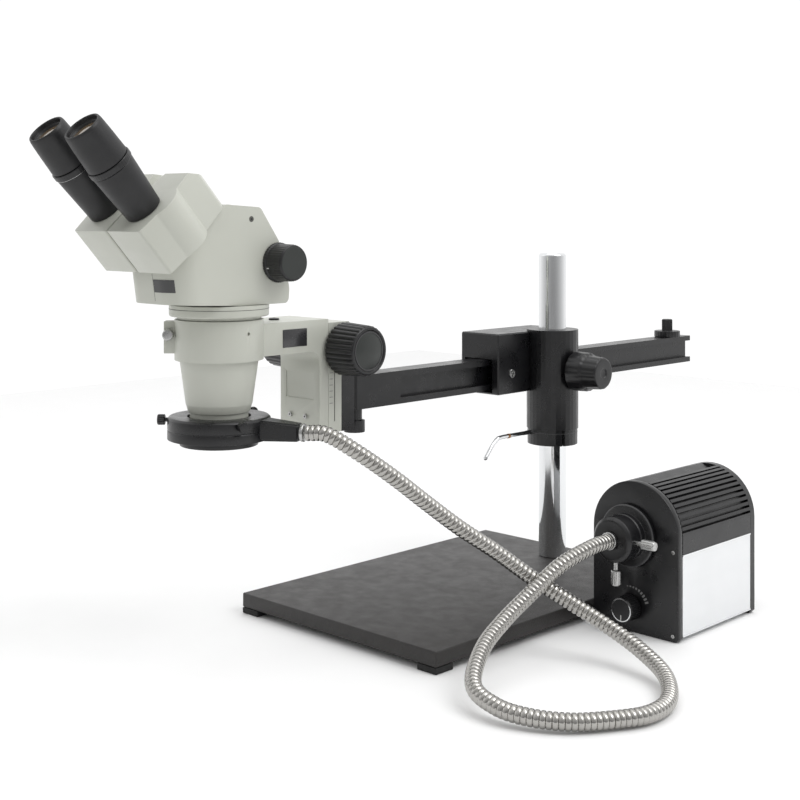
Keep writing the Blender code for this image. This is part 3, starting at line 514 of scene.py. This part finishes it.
def build_stand():
    """Post, lever, knobs and screws of the boom stand."""
    placed(turned(soft([(0, 374), (14, 373.4), (16, 371), (16, 21.3), (0, 21.3)], 1.0), steps=128),
           "post_tube", "chrome", "base", ["post"])
    ends = {"front": (-353, -329), "rear": (18, 42)}
    sides = {"left": (-137.5, -113.5), "right": (113.5, 137.5)}
    for end, y in ends.items():
        for side, x in sides.items():
            name = "_" + end + "_" + side
            placed(block(x, y, (0, 6)), "foot_pad" + name, "feet", "base", ["foot" + name], edge=0.8)
    placed(block((-137.5, 137.5), (-353, 42), (6.3, 21)), "base_slab", "base", "base", ["base_plate"],
           edge=1.4, segments=3, tools=[(turned([(0, 0), (9.5, 0), (9.5, 14.8), (0, 14.8)], steps=48),
                                         "DIFFERENCE")])
    lever_x, lever_z = -14.0, 165.8
    route = [(lever_x, -17, lever_z), (lever_x, -45, lever_z), (lever_x, -77, lever_z),
             (lever_x, -85, lever_z - 2.2), (lever_x, -92, lever_z - 7.2), (lever_x, -104, lever_z - 20.0)]
    points = smooth_route(route, 1.5)[0]
    placed(tube_along(points, 2.5, 20, round_end=True), "lever_rod", "chrome", "clamp_lever",
           ["clamp_lever"])
    placed(tube_along([Vector((lever_x, y, lever_z)) for y in (-66.0, -62.0)], 2.7, 24), "lever_band",
           "copper", "clamp_lever")
    knob = turned(soft([(0, 16.6), (5, 16.6), (5, 32.5), (20, 32.5), (22.5, 34.5), (22, 52), (19.2, 54.5),
                        (18, 71), (16.2, 72.4), (6, 72.4), (5, 71.2), (0, 71.0)], 0.8),
                  TENSION, "X", 168)
    placed(ribbed(knob, TENSION, "X", 17.0, 14, 0.45, 2.0), "tension_grip", "plastic",
           "tension_knob", ["tension_knob"])
    stop = turned(soft([(0, 277), (6, 277), (7, 276), (7, 261.6), (16.6, 261.6), (17, 261), (17, 253.8),
                        (16.6, 253.6), (3, 253.6), (3, 237), (0, 237)], 0.5), END_STOP, "Z", 96)
    placed(ribbed(stop, END_STOP, "Z", 6.5, 24, 0.5), "end_stop_grip", "plastic", "end_stop_knob",
           ["end_stop_knob"])
    brake = turned(soft([(0, -25.4), (5, -25.4), (5, -10.5), (2.9, -10.5), (2.9, -14), (0, -14)], 0.5),
                   (0, -60, 237), "X", 48)
    placed(brake, "brake_screw_head", "steel", "boom_brake_screw", ["boom_brake_screw"])
    for i, x in enumerate((-46.5, -30.5)):
        hex_screw("bracket_screw_" + str(i + 1), (x, -306, 265.2), "Z", 2.6, "focus_mount")
    placed(turned([(29.15, 166.2), (29.15, 166.9), (28.4, 166.9), (28.4, 166.2)], closed=True), "collar_line",
           "edge", "collar")


def tube_along(points, radius, sides, round_end=False):
    """A round bar along points, with a domed last end if asked."""
    mesh = bmesh.new()
    side = Vector((1, 0, 0))
    rows = []
    for i, point in enumerate(points):
        along = (points[min(i + 1, len(points) - 1)] - points[max(i - 1, 0)]).normalized()
        side = (side - along * side.dot(along)).normalized()
        up = along.cross(side)
        rows.append([mesh.verts.new(point + (side * math.cos(2 * math.pi * k / sides)
                                             + up * math.sin(2 * math.pi * k / sides)) * radius)
                     for k in range(sides)])
    if round_end:
        for turn in (30, 60):
            angle = math.radians(turn)
            middle = points[-1] + along * radius * math.sin(angle)
            rows.append([mesh.verts.new(middle + (corner.co - points[-1]) * math.cos(angle))
                         for corner in rows[len(points) - 1]])
    for row, following in zip(rows, rows[1:]):
        for k in range(sides):
            around = (k + 1) % sides
            mesh.faces.new((row[k], row[around], following[around], following[k]))
    mesh.faces.new(rows[0][::-1])
    mesh.faces.new(rows[-1])
    return mesh


# ---------------------------------------------------------------- focus drive

def build_focus():
    """Focus knobs with their faces, the small marks and screws of the focus slide, and a dark line of painted
    shade at its seam.
    """
    for name, side in (("left", -1), ("right", 1)):
        inner, outer = 31.3, 68.5
        profile = [(0, outer - 4.0), (4.3, outer - 4.0), (4.3, inner), (24.5, inner), (26.5, inner + 1.5),
                   (26.2, inner + 7), (24.8, outer - 2.5), (23, outer), (20.6, outer), (20.2, outer - 1.2),
                   (0, outer - 1.2)]
        sided = [(radius, side * height) for radius, height in soft(profile, 0.9)]
        knob = turned(sided, FOCUS, "X", 180)
        placed(ribbed(knob, FOCUS, "X", 23.6, 30, 1.3, 3.0), "focus_grip_" + name, "plastic",
               "focus_drive", ["focus_knob_" + name])
        face = [(0, outer - 0.9), (17.5, outer - 0.9), (18.0, outer - 1.15)]
        placed(turned([(r, side * h) for r, h in face + [(18.0, outer - 3), (0, outer - 3)]], FOCUS, "X"),
               "focus_face_" + name, "dial", "focus_drive")
        ring = [(18.1, outer - 1.3), (18.1, outer - 0.7), (19.0, outer - 0.7), (19.0, outer - 1.3)]
        placed(turned([(r, side * h) for r, h in ring], FOCUS, "X", closed=True), "focus_ring_" + name,
               "edge", "focus_drive")
    for i, x in enumerate((-51.5, -29.0)):
        hex_screw("leg_screw_" + str(i + 1), (x, -361.9, 219), "Y", 2.4, "focus_carriage", sign=-1)
    # A thin dark line of painted shade along the seam between the carriage's side and the slide plate
    placed(block((-9.7, -9.1), (-341.2, -340.6), (214, 300)), "slide_seam_shadow_line", "groove", "focus_mount")
    for i in range(9):
        z = 232 + 6 * i
        placed(block((-9.7, -9.15), (-347.5, -343.5), (z, z + 0.5)), "slide_mark_" + str(i + 1),
               "grey_print", "focus_mount")


def build_carriage():
    """The arm, leg and ring that hold the head, with fine edges."""
    face = -349.3
    left, right = -67.5, -9.5
    fillet = arc((-373, 273), 12, 0, 90, 12)
    outline = [(face, 203), (face, 316), (-440, 316), (-440, 285)] + fillet[::-1]
    outline += [(-361, 206), (-358, 203)]
    ring = turned([(0, 283), (41.75, 283), (41.75, 321), (0, 321)], HEAD, steps=128)
    around = Matrix.Translation(HEAD)
    aside = aim(HEAD, math.radians(-135))
    lug = block((39.5, 51), (-8, 8), (289, 319))
    lug.transform(aside)
    bore = turned([(0, 270), (38.4, 270), (38.4, 330), (0, 330)], HEAD, steps=128)
    bore.transform(around @ Matrix.Rotation(math.radians(1.4), 4, "Z") @ around.inverted())
    slit = block((30, 60), (-1, 1), (270, 330))
    slit.transform(aside)
    hole = turned([(0, -20), (2.4, -20), (2.4, 20), (0, 20)], (46, 0, 307), "Y", 24)
    hole.transform(aside)
    back = block((-50.1, -26.9), (-352, -342.7), (206, 312))
    window = block((-59, -18), (-362.3, -360.2), (236, 262))
    set_hole = turned([(0, 39), (1.6, 39), (1.6, 50), (0, 50)], (0, 0, 309), "X", 20)
    set_hole.transform(aim(HEAD, math.radians(2)))
    arm_hole = turned([(0, 315), (5.5, 315), (5.5, 320), (0, 320)], (-38.5, -395, 0), "Z", 32)
    placed(extruded(outline, "X", (left, right)), "carriage_casting", "cream", "focus_carriage",
           ["focus_carriage"], edge=0.9, edge_angle=40, segments=2,
           tools=[(ring, "UNION"), (back, "UNION"), (lug, "UNION"), (bore, "DIFFERENCE"),
                  (slit, "DIFFERENCE"), (hole, "DIFFERENCE"), (window, "DIFFERENCE"),
                  (set_hole, "DIFFERENCE"), (arm_hole, "DIFFERENCE")])
    placed(turned(soft([(0, 315.2), (5.2, 315.2), (5.2, 317.6), (0, 318.4)], 0.6), (-38.5, -395, 0), "Z", 48),
           "arm_cap", "plastic", "focus_carriage")
    placed(block((-9.6, -9.0), (-409, -378), (291.5, 308.7)), "name_plate", "plate", "focus_carriage",
           edge=0.25)
    screw = turned(soft([(0, -7.5), (2, -7.5), (2, 11.5), (4.4, 11.5), (5.5, 12.4), (5.5, 17), (4.4, 18),
                         (0, 18)], 0.4), (46, 0, 307), "Y", 72)
    ribbed(screw, (46, 0, 307), "Y", 5.0, 18, 0.4)
    placed(screw, "clamp_thumb_screw", "steel", "head_clamp_screw", ["head_clamp_screw"], at=aside)


# ---------------------------------------------------------------- head

def build_head():
    """Head casting, nose barrel, lens and zoom knobs."""
    outline = [(-414, 335.3), (-411, 338.3), (-410, 350), (-423, 394), (-446, 426), (-480, 428),
               (-487, 428.8), (-560, 363.1), (-560, 338.5), (-535, 338.5), (-470, 335.3)]
    plan = [(HEAD_X + HEAD_HALF, -380), (HEAD_X - HEAD_HALF, -380)]
    plan += arc((HEAD_X - HEAD_HALF + PROW_R, PROW_CORNER_Y), PROW_R, 180, 270, 18)
    plan += arc((HEAD_X + HEAD_HALF - PROW_R, PROW_CORNER_Y), PROW_R, 270, 360, 18)
    prow = extruded(plan, "Z", (300, 460))
    for corner in prow.verts:
        corner.co.y -= PROW_SLOPE * (corner.co.z - PROW_LEVEL)
    placed(extruded(soft(outline, 3.0, closed=True), "X", (HEAD_X - HEAD_HALF, HEAD_X + HEAD_HALF)),
           "head_casting",
           "cream", "head", ["head_shell"], tools=[(prow, "INTERSECT")], edge=2.6, edge_angle=48, segments=4)
    placed(turned(soft([(0, 40.3), (2.7, 40.3), (2.7, 39.0), (0, 39.0)], 0.2), HEAD_SET_SCREW, "X", 32),
           "head_set_screw", "groove", "head")
    placed(turned([(0, 40.5), (1.2, 40.5), (1.2, 40.2), (0, 40.2)], HEAD_SET_SCREW, "X", 6),
           "head_set_screw_socket", "dial", "head")
    build_prow_marks()
    profile = [(47, 335), (47, 325.5), (46.2, 324.2), (39.5, 324), (39.5, 321.3), (38, 321.3), (38, 287),
               (37.5, 285.5), (31.3, 241.5), (30.6, 239.6), (29, 234), (27.5, 234), (27.5, 214), (22, 214),
               (22, 236), (26, 236), (26, 246), (33, 286), (33, 335)]
    placed(turned(soft(profile, 0.6, closed=True), HEAD, "Z", 144, closed=True), "nose_casting", "cream",
           "head", ["nose_barrel"])
    line = [(47.12, 331.0), (47.12, 331.5), (46.4, 331.5), (46.4, 331.0)]
    placed(turned(line, HEAD, "Z", 144, closed=True), "nose_flange_line", "groove", "head")
    placed(turned([(0, 244), (10, 243.6), (18, 242.6), (25.7, 240), (25.7, 237.2), (14, 236.5), (0, 236.3)],
                  HEAD, "Z", 96), "objective_glass", "glass", "head", ["objective_lens"])
    for name, side in (("left", -1), ("right", 1)):
        profile = [(0, 62.3), (3.3, 62.3), (3.3, 40.4), (19, 40.4), (19, 43.2), (17.7, 44.2), (17.3, 61.4),
                   (16.4, 63.2), (15.6, 63.5), (0, 63.5)]
        knob = turned([(r, side * h) for r, h in soft(profile, 0.5)], ZOOM, "X", 168)
        placed(ribbed(knob, ZOOM, "X", 16.6, 42, 0.35), "zoom_grip_" + name, "plastic", "zoom_drive",
               ["zoom_knob_" + name])
        placed(turned([(r, side * h) for r, h in ((0, 63.7), (15.0, 63.7), (15.2, 63.5), (0, 63.3))], ZOOM,
                      "X"), "zoom_face_" + name, "dial", "zoom_drive")
        x = sorted((HEAD_X + side * 45, HEAD_X + side * 47))
        placed(block(x, (ZOOM.y - 17.9, ZOOM.y - 17.0), (ZOOM.z - 5.5, ZOOM.z - 4.5)),
               "zoom_index_" + name, "print", "zoom_drive")


def prow_point(x, z):
    """The front surface's Y at an X and a height."""
    away = max(0.0, abs(x - HEAD_X) - (HEAD_HALF - PROW_R))
    return PROW_CORNER_Y - math.sqrt(PROW_R ** 2 - away ** 2) - PROW_SLOPE * (z - PROW_LEVEL)


def build_prow_marks():
    """The blank data plate, which follows the rounded front, and the casting's seam beside it."""
    mesh = bmesh.new()
    columns = 12
    grid = []
    for depth in (0.45, -0.4):
        for z in (349.5, 361.0):
            row = []
            for i in range(columns + 1):
                x = HEAD_X + 8.0 + 23.0 * i / columns
                row.append(mesh.verts.new((x, prow_point(x, z) - depth, z)))
            grid.append(row)
    front_low, front_high, back_low, back_high = grid
    for i in range(columns):
        for low, high in ((front_low, front_high), (front_high, back_high), (back_high, back_low),
                          (back_low, front_low)):
            mesh.faces.new((low[i], low[i + 1], high[i + 1], high[i]))
    for i in (0, columns):
        mesh.faces.new((front_low[i], front_high[i], back_high[i], back_low[i]))
    placed(mesh, "data_plate", "label", "head")
    seam = bmesh.new()
    corners = []
    for x in (HEAD_X + 6.78, HEAD_X + 7.22):
        for z in (341.5, 366.5):
            y = prow_point(HEAD_X, z)
            corners.append([seam.verts.new((x, y - 0.08, z)), seam.verts.new((x, y + 0.5, z))])
    a, b, c, d = corners
    for face in ((a[0], b[0], d[0], c[0]), (a[1], b[1], d[1], c[1]), (a[0], a[1], b[1], b[0]),
                 (c[0], c[1], d[1], d[0]), (a[0], a[1], c[1], c[0]), (b[0], b[1], d[1], d[0])):
        seam.faces.new(face)
    placed(seam, "casting_seam", "groove", "head")


def build_eye(side_name, side):
    """One prism housing with its diopter ring and eyepiece, modelled upright and then leaned."""
    lean = (Matrix.Translation((HEAD_X + side * EYE_HALF, EYE_Y, EYE_Z))
            @ Matrix.Rotation(EYE_LEAN, 4, "X"))
    body = "eye_" + side_name
    outline = [(-27, -28), (22, -28)] + arc((4, 8), 25, -35, 55, 16)
    outline += [(14, 58), (5, 65), (-8, 65), (-17, 56), (-27, 22)]
    outline = soft([(side * u, v) for u, v in outline], 2.5, closed=True)
    placed(extruded(outline, "Z", (-50, 0)), "eye_casting_" + side_name, "cream", body,
           ["prism_housing_" + side_name], edge=2.6, edge_angle=48, segments=4,
           tools=[(cut_wedge(), "DIFFERENCE")], at=lean)
    sleeve = [(0, 0.3), (16.2, 0.3), (16.8, 1.0), (19.7, 49.4), (19.3, 50.1), (15.2, 50.1), (15.2, 56.3),
              (19.2, 56.3), (19.5, 57.0), (19.1, 66), (18.7, 76), (18.0, 88), (17.6, 92.5), (17.0, 94.6),
              (16.2, 95.0), (15.2, 94.7), (14.9, 93.0), (14.6, 90.6), (13.4, 90.2), (12.6, 88.5), (0, 88.5)]
    placed(turned(soft(sleeve, 0.5), steps=112), "eye_tube_" + side_name, "rubber", body,
           ["eyepiece_" + side_name], at=lean)
    lens = [(0, 90.6), (4, 90.45), (8, 89.9), (12.5, 88.9), (12.5, 88.5), (0, 88.5)]
    placed(turned(lens, steps=64), "eye_lens_" + side_name, "lens", body, at=lean)
    ring = turned(soft([(15.3, 50.3), (20.2, 50.3), (20.5, 51.0), (20.5, 55.4), (20.2, 56.0), (15.3, 56.0)],
                       0.4, closed=True), steps=144, closed=True)
    placed(ribbed(ring, (0, 0, 0), "Z", 20.0, 48, 0.25), "diopter_grip_" + side_name, "plastic",
           "diopter_ring_" + side_name, ["diopter_ring_" + side_name], at=lean)
    if side < 0:
        line = [(19.55, 50.0), (19.95, 50.0), (19.95, 50.28), (19.55, 50.28)]
        placed(turned(line, steps=96, closed=True), "eye_bright_line", "steel", body, at=lean)


def cut_wedge():
    """The slanted cut across a housing's top rear edge."""
    return extruded([(49, 0), (49, 20), (90, 20), (90, -41)], "X", (-60, 60))


# ---------------------------------------------------------------- ring light

def build_ring_light():
    """Ring light housing with its neck, thumb screws, fibre ring and ferrule."""
    low, top = 208.8, 230.0
    profile = [(30, low), (48.5, low), (48.5, 217.0), (47.9, 217.4), (47.9, 218.2), (48.5, 218.6),
               (48.5, top - 2), (46.5, top), (30, top)]
    neck = bmesh.new()
    bmesh.ops.create_cube(neck, size=1.0)
    for corner in neck.verts:
        far = corner.co.x > 0
        width = 15.5 if far else 25.0
        ends = (GUIDE_Z - 7.8, GUIDE_Z + 7.8) if far else (low + 0.6, top - 0.6)
        corner.co = (NECK_END if far else 40.0, corner.co.y * width, ends[1] if corner.co.z > 0 else ends[0])
    bmesh.ops.bevel(neck, geom=list(neck.edges), offset=2.0, segments=3, affect="EDGES")
    neck.transform(aim(HEAD, NECK_ANGLE))
    placed(turned(soft(profile, 0.7, closed=True), HEAD, "Z", 144, closed=True), "ring_housing", "black",
           "ring_light", ["ring_light_housing"], tools=[(neck, "UNION")])
    bezel = soft([(26, 202.8), (37, 202.8), (37, 208.5), (26, 208.5)], 0.8, closed=True)
    placed(turned(bezel, HEAD, "Z", 128, closed=True), "ring_bezel", "plastic", "ring_light",
           ["ring_light_bezel"])
    fibres = [(28.5, 202.55), (33.5, 202.55), (33.5, 203.4), (28.5, 203.4)]
    placed(turned(fibres, HEAD, "Z", 128, closed=True), "fibre_ring", "diffuser", "ring_light")
    ferrule = turned(soft([(0, NECK_END - 12), (5, NECK_END - 12), (5, NECK_END + 0.3), (8.0, NECK_END + 0.3),
                           (8.4, NECK_END + 1), (8.4, NECK_END + 3), (7.6, NECK_END + 3.7),
                           (0, NECK_END + 3.7)], 0.4), (0, 0, GUIDE_Z), "X", 72)
    placed(ferrule, "ferrule_collar", "steel", "ring_light", ["guide_ferrule"], at=aim(HEAD, NECK_ANGLE))
    for i, name in enumerate(("front", "right", "rear")):
        profile = soft([(0, 27.9), (2, 27.9), (2, 50.8), (4.4, 50.8), (5, 51.4), (5, 57.2), (4.4, 58),
                        (0, 58)], 0.4)
        screw = ribbed(turned(profile, (0, 0, 226), "X", 72), (0, 0, 226), "X", 4.6, 18, 0.35)
        placed(screw, "ring_thumb_screw_" + name, "black", "ring_screw_" + name, ["ring_screw_" + name],
               at=aim(HEAD, math.radians(-135 + 120 * i)))


# ---------------------------------------------------------------- lamp box

def build_lamp():
    """Front panel, port, screws, dimmer and trim of the lamp box."""
    plate = [(LAMP_LEFT, 3), (LAMP_LEFT + 3, 0), (LAMP_RIGHT - 3, 0), (LAMP_RIGHT, 3)]
    plate += arc((LAMP_ARCH.x, LAMP_ARCH.z), LAMP_ARCH_R, 0, 180, 64)
    hole = turned([(0, -130), (14, -130), (14, -105), (0, -105)], (PORT.x, 0, PORT.z), "Y", 48)
    shaft = turned([(0, -130), (3.5, -130), (3.5, -105), (0, -105)], DIMMER, "Y", 32)
    placed(extruded(plate, "Y", (LAMP_FRONT, LAMP_FRONT + 8)), "lamp_front_panel", "black", "base",
           ["lamp_front_plate"], tools=[(hole, "DIFFERENCE"), (shaft, "DIFFERENCE")], edge=1.2,
           edge_angle=50, segments=2)
    port = [(8.3, -154), (18.6, -154), (20, -153.4), (22.5, -150.6), (22.5, -135), (23.3, -134), (23.3, -128),
            (29.5, -127.4), (31, -126), (31, -121.3), (13.7, -121.3), (13.7, -112), (8.3, -112)]
    placed(turned(soft(port, 0.5, closed=True), (PORT.x, 0, PORT.z), "Y", 120, closed=True), "port_flange",
           "black", "base", ["lamp_port"])
    placed(turned([(30.2, -126.9), (31.2, -126.0), (31.2, -125.4), (30.2, -126.2)], (PORT.x, 0, PORT.z), "Y",
                  120, closed=True), "port_flange_edge", "edge", "base")
    for name, axis, sign in (("side", "X", 1), ("lower", "Z", -1)):
        shape = soft([(0, 8.6), (2.2, 8.6), (2.2, 30.6), (4.3, 30.9), (5, 31.8), (5, 44.6), (4.2, 46),
                      (0, 46)], 0.5)
        screw = turned([(r, sign * h) for r, h in shape], PORT, axis, 72)
        placed(ribbed(screw, PORT, axis, 4.7, 16, 0.3), "port_thumb_screw_" + name, "steel",
               "port_screw_" + name, ["port_screw_" + name])
    knob = turned(soft([(0, -108.3), (3, -108.3), (3, -121.6), (13, -121.6), (13, -124), (12.6, -135.6),
                        (11.8, -137.6), (10.8, -138), (0, -138)], 0.4), DIMMER, "Y", 144)
    placed(ribbed(knob, DIMMER, "Y", 12.2, 36, 0.4), "dimmer_grip", "plastic", "dimmer_knob",
           ["dimmer_knob"])
    placed(turned([(10.6, -138.0), (11.6, -137.9), (11.6, -137.4), (10.6, -137.4)], DIMMER, "Y", 96,
                  closed=True), "dimmer_bright_ring", "chrome", "dimmer_knob")
    placed(block((DIMMER.x - 0.4, DIMMER.x + 0.4), (-138.25, -137.8), (DIMMER.z - 10.5, DIMMER.z - 5)),
           "dimmer_pointer", "print", "dimmer_knob")
    build_scale()
    for i, (x, z) in enumerate(((LAMP_LEFT + 6, 6), (LAMP_RIGHT - 6, 6), (LAMP_LEFT + 5.5, 88),
                                (LAMP_RIGHT - 5.5, 88))):
        hex_screw("panel_screw_" + str(i + 1), (x, LAMP_FRONT + 0.3, z), "Y", 1.9, "base", sign=-1)
        hex_screw("rear_screw_" + str(i + 1), (x, LAMP_REAR - 0.3, z), "Y", 1.9, "base")
    inside = (LAMP_FRONT + 8.3, LAMP_REAR - 8.3)
    for name, x in (("left", LAMP_LEFT + 0.3), ("right", LAMP_RIGHT - 0.3)):
        span = sorted((x, x + (0.5 if name == "right" else -0.5)))
        placed(block(span, inside, (83.2, 84.7)), "cover_top_edge_" + name, "chrome", "base")
        placed(block(span, inside, (4.2, 5.4)), "cover_low_edge_" + name, "chrome", "base")
    placed(turned(soft([(8.0, -154.3), (8.8, -154.3), (8.8, -158.2), (8.4, -158.6), (0, -158.6), (0, -116),
                        (8.0, -116)], 0.3), (PORT.x, 0, PORT.z), "Y", 64, closed=True),
           "plug_collar", "steel", "base", ["guide_plug"])


def build_scale():
    """The brightness scale: a row of plain wedges on an arc above the dimmer knob."""
    steps = 9
    for i in range(steps):
        angle = math.radians(100 - 78 * i / (steps - 1))
        tall = 1.0 + 0.42 * i
        middle = Vector((DIMMER.x + 20.5 * math.cos(angle), 0, DIMMER.z + 20.5 * math.sin(angle)))
        mark = block((-1.0, 1.0), (LAMP_FRONT - 0.12, LAMP_FRONT + 0.4), (-tall / 2, tall / 2))
        mark.transform(Matrix.Rotation(math.pi / 2 - angle, 4, "Y"))
        mark.transform(Matrix.Translation(middle))
        placed(mark, "dimmer_scale_" + str(i + 1), "grey_print", "base")


# ---------------------------------------------------------------- studio

FLOOR_HALF = 1.9
# The surround is white behind the object and above it, and dims towards the camera
BACKDROP_WAY = (-0.52, 0.60, 0.60)
BACKDROP_GLOW = 1.05
FRONT_GLOW = 0.30


def area_light(name, at, towards, size, power):
    """A soft rectangular light aimed at a point, in metres."""
    data = bpy.data.lights.new(name, "AREA")
    data.shape = "RECTANGLE"
    data.size, data.size_y = size
    data.energy = power
    made = bpy.data.objects.new(name, data)
    bpy.context.collection.objects.link(made)
    made.location = at
    made.rotation_euler = (Vector(towards) - Vector(at)).to_track_quat("-Z", "Y").to_euler()


def build_studio():
    """A plain pale floor, a surround that is white behind the object, and soft lights."""
    mesh = bmesh.new()
    bmesh.ops.create_grid(mesh, x_segments=1, y_segments=1, size=FLOOR_HALF)
    data = bpy.data.meshes.new("floor")
    mesh.to_mesh(data)
    mesh.free()
    floor = bpy.data.objects.new("floor", data)
    bpy.context.collection.objects.link(floor)
    floor.location = (0, 0, -0.0003)
    data.materials.append(surface("pale_floor", (0.92, 0.92, 0.92), 0.7, mottle=0.005))
    world = bpy.data.worlds.new("studio")
    world.use_nodes = True
    world.node_tree.nodes["Background"].inputs["Color"].default_value = (1.0, 1.0, 1.0, 1.0)
    tree = world.node_tree
    way = tree.nodes.new("ShaderNodeTexCoord")
    facing = tree.nodes.new("ShaderNodeVectorMath")
    facing.operation = "DOT_PRODUCT"
    facing.inputs[1].default_value = BACKDROP_WAY
    fade = tree.nodes.new("ShaderNodeMapRange")
    fade.inputs["From Min"].default_value = -0.8
    fade.inputs["From Max"].default_value = 0.45
    fade.inputs["To Min"].default_value = FRONT_GLOW
    fade.inputs["To Max"].default_value = BACKDROP_GLOW
    tree.links.new(way.outputs["Generated"], facing.inputs[0])
    tree.links.new(facing.outputs["Value"], fade.inputs["Value"])
    tree.links.new(fade.outputs["Result"], tree.nodes["Background"].inputs["Strength"])
    bpy.context.scene.world = world
    area_light("key", (1.6, 0.3, 2.2), (0.0, -0.1, 0.2), (1.6, 1.6), 24.0)
    area_light("fill", (-1.8, -1.4, 1.6), (0.0, -0.1, 0.2), (1.8, 1.8), 2.0)
    area_light("top", (0.0, 0.0, 2.6), (0.0, 0.0, 0.0), (2.0, 2.0), 8.0)
    bpy.context.scene.view_settings.view_transform = "Standard"


build_camera()
build_guide()
dress_frame()
build_stand()
build_focus()
build_carriage()
build_head()
build_eye("left", -1)
build_eye("right", 1)
build_ring_light()
build_lamp()
build_studio()
